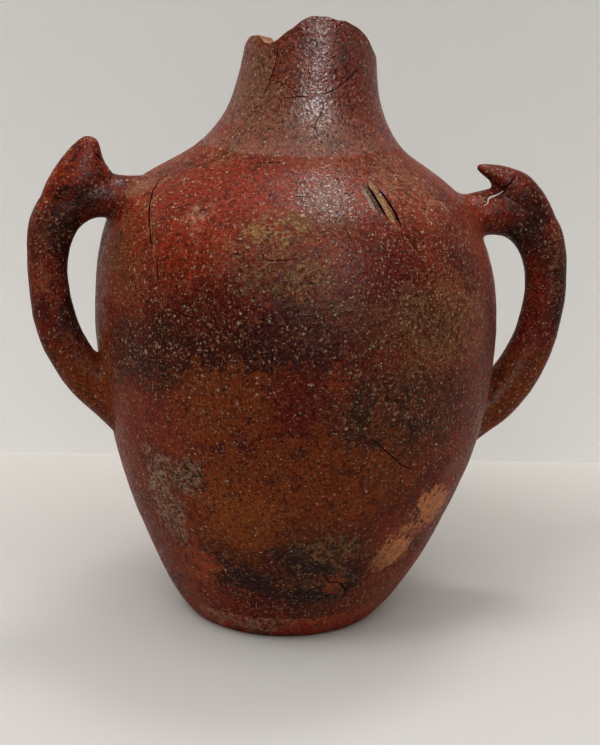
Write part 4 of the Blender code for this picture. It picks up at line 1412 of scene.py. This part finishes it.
def area_lamp(name, direction, distance, width, height, power, use):
    """A lamp aimed at the jar, whose light falls on everything or whose glare is only mirrored."""
    aim = Vector(direction).normalized()
    bpy.ops.object.light_add(type="AREA", location=LAMP_AIM + aim * distance)
    lamp = bpy.context.object
    lamp.name = name
    lamp.rotation_euler = aim.to_track_quat("Z", "Y").to_euler()
    lamp.data.shape = "RECTANGLE"
    lamp.data.size = width
    lamp.data.size_y = height
    lamp.data.energy = power
    lamp.visible_camera = False
    lamp.visible_diffuse = use == "light"
    lamp.visible_glossy = use == "glare"


def soft_white_room(level, room_colour):
    """The room's light: soft, bright overhead and dim low down, so undersides darken gently."""
    world = bpy.data.worlds.new("soft white room")
    world.use_nodes = True
    tree = world.node_tree
    direction = add_node(tree, "ShaderNodeTexCoord").outputs["Generated"]
    height = add_node(tree, "ShaderNodeSeparateXYZ", {0: direction}).outputs["Z"]
    limits = {"Value": height, "From Min": ROOM_DIM_BELOW, "From Max": ROOM_BRIGHT_ABOVE}
    limits.update({"To Min": level * ROOM_DIM_SHARE, "To Max": level})
    brightness = add_node(tree, "ShaderNodeMapRange", limits, interpolation_type="SMOOTHSTEP")
    fill_inputs(tree, tree.nodes["Background"], {"Strength": brightness, "Color": tuple(room_colour)})
    return world


def photo_camera():
    """The camera that took the photograph."""
    bpy.ops.object.camera_add(location=CAMERA_PLACE, rotation=CAMERA_TURN.to_euler())
    camera = bpy.context.object
    camera.data.sensor_width = SENSOR_MM
    camera.data.sensor_fit = "VERTICAL"
    camera.data.sensor_height = SENSOR_MM
    camera.data.lens = SENSOR_MM * FOCAL_PIXELS / PHOTO_HEIGHT
    camera.data.clip_start = 10 * MM
    return camera


class JAR_OT_stage(bpy.types.Operator):
    """Lay the floor, stand the backdrop, and set the lights and the camera"""

    bl_idname = "jar.stage"
    bl_label = "Stage, lights and camera"

    def execute(self, context):
        scene = context.scene
        look = scene.jar_stage
        bpy.ops.object.select_all(action="DESELECT")
        # A pale matt floor with painted shade that darkens it towards the camera, so the jar stands dark
        # against it
        paint = matt_paint("pale floor", look.floor_colour, FLOOR_PAINTED_SHADE_SHARE)
        middle = Vector((0.0, FLOOR_SIZE / 2 - TABLE_EDGE, 0.0))
        floor = flat_sheet("floor", paint, size=FLOOR_SIZE, location=middle)
        # A nearly white matt wall, on which no shadow or shine takes the eye from the jar
        paint = matt_paint("pale painted wall", look.wall_colour)
        see_through_from_behind(paint)
        middle = Vector((0.0, BACKDROP_Y, BACKDROP_HEIGHT / 2))
        upright = (math.radians(90), 0.0, 0.0)
        backdrop = flat_sheet("backdrop", paint, size=BACKDROP_HEIGHT, location=middle, rotation=upright)
        for name, direction, distance, width, height, power, use in LAMPS:
            area_lamp(name, direction, distance, width, height, power * look.lamp_level, use)
        scene.world = soft_white_room(look.room_level, look.room_colour)
        scene.view_settings.view_transform = "Standard"
        scene.camera = photo_camera()
        return {"FINISHED"}


def length(name, words, millimetres):
    """Property for a length, with its default in mm."""
    return bpy.props.FloatProperty(
        name=name, description=words, default=millimetres * MM, unit="LENGTH", subtype="DISTANCE"
    )


def colour(name, words, hex_colour):
    """Property for a colour, with its default as sRGB hex."""
    return bpy.props.FloatVectorProperty(
        name=name, description=words, default=rgb(hex_colour), size=4, subtype="COLOR", min=0.0, max=1.0
    )


def share(name, words, value, top=1.0):
    """Property for a number from 0 to the top."""
    return bpy.props.FloatProperty(name=name, description=words, default=value, min=0.0, max=top)


class JarShape(bpy.types.PropertyGroup):
    wave_depth: length("Wave depth", "How far hand-made waves 60 mm long move the surface", 1.2)
    dent_depth: length("Dent depth", "How far finger dents 14 mm wide move the surface", 0.5)
    grain_depth: length("Grain depth", "How far the coarse grain of the clay moves the surface", 0.15)


class JarFinish(bpy.types.PropertyGroup):
    roughness: share("Roughness", "Roughness of the burnished slip", 0.22)
    grit_colour: colour("Grit colour", "Colour of the darkest grains of grit", "#86603f")
    pale_grit_colour: colour("Pale grit colour", "Colour of the palest grains of grit", "#b59d82")
    # Painted shade: the colour inside the pits
    pit_shade_colour: colour("Pit colour", "Colour inside the pits", "#1c0c08")
    # Painted shade: the near-black colour that lines the cracks
    crack_shade_colour: colour("Crack colour", "Colour inside the cracks", "#120b08")
    plaster_colour: colour("Plaster colour", "Colour of the repair's plaster", "#cfc9bd")


class JarStage(bpy.types.PropertyGroup):
    floor_colour: colour("Floor colour", "Colour of the pale floor at the back", "#dad7d2")
    wall_colour: colour("Backdrop colour", "Colour of the pale painted wall behind", "#fffffd")
    lamp_level: share("Lamp level", "Strength of all the lamps, 1 as photographed", 1.0, 5.0)
    room_level: share("Room level", "Strength of the room's soft light", 1.85, 5.0)
    room_colour: colour("Room colour", "Colour of the room's soft light", "#fffdfa")


OPERATORS = (JAR_OT_finishes, JAR_OT_wall, JAR_OT_handles, JAR_OT_repair, JAR_OT_cracks, JAR_OT_stage)


class JAR_PT_panel(bpy.types.Panel):
    """Lists the jar's sizes and colours and the steps that model it"""

    bl_idname = "JAR_PT_panel"
    bl_label = "Pottery jar"
    bl_space_type = "VIEW_3D"
    bl_region_type = "UI"
    bl_category = "Pottery jar"

    def draw(self, context):
        for group in (context.scene.jar_shape, context.scene.jar_finish, context.scene.jar_stage):
            for name in group.bl_rna.properties.keys():
                if name not in ("rna_type", "name"):
                    self.layout.prop(group, name)
        for operator in OPERATORS:
            self.layout.operator(operator.bl_idname)


GROUPS = {"jar_shape": JarShape, "jar_finish": JarFinish, "jar_stage": JarStage}


def register():
    for one in (*GROUPS.values(), *OPERATORS, JAR_PT_panel):
        bpy.utils.register_class(one)
    for name, group in GROUPS.items():
        setattr(bpy.types.Scene, name, bpy.props.PointerProperty(type=group))


def unregister():
    for name in GROUPS:
        delattr(bpy.types.Scene, name)
    for one in reversed((*GROUPS.values(), *OPERATORS, JAR_PT_panel)):
        bpy.utils.unregister_class(one)


def main():
    register()
    bpy.ops.jar.finishes()
    bpy.ops.jar.wall()
    bpy.ops.jar.handles()
    bpy.ops.jar.repair()
    bpy.ops.jar.cracks()
    bpy.ops.jar.stage()


if __name__ == "__main__":
    main()
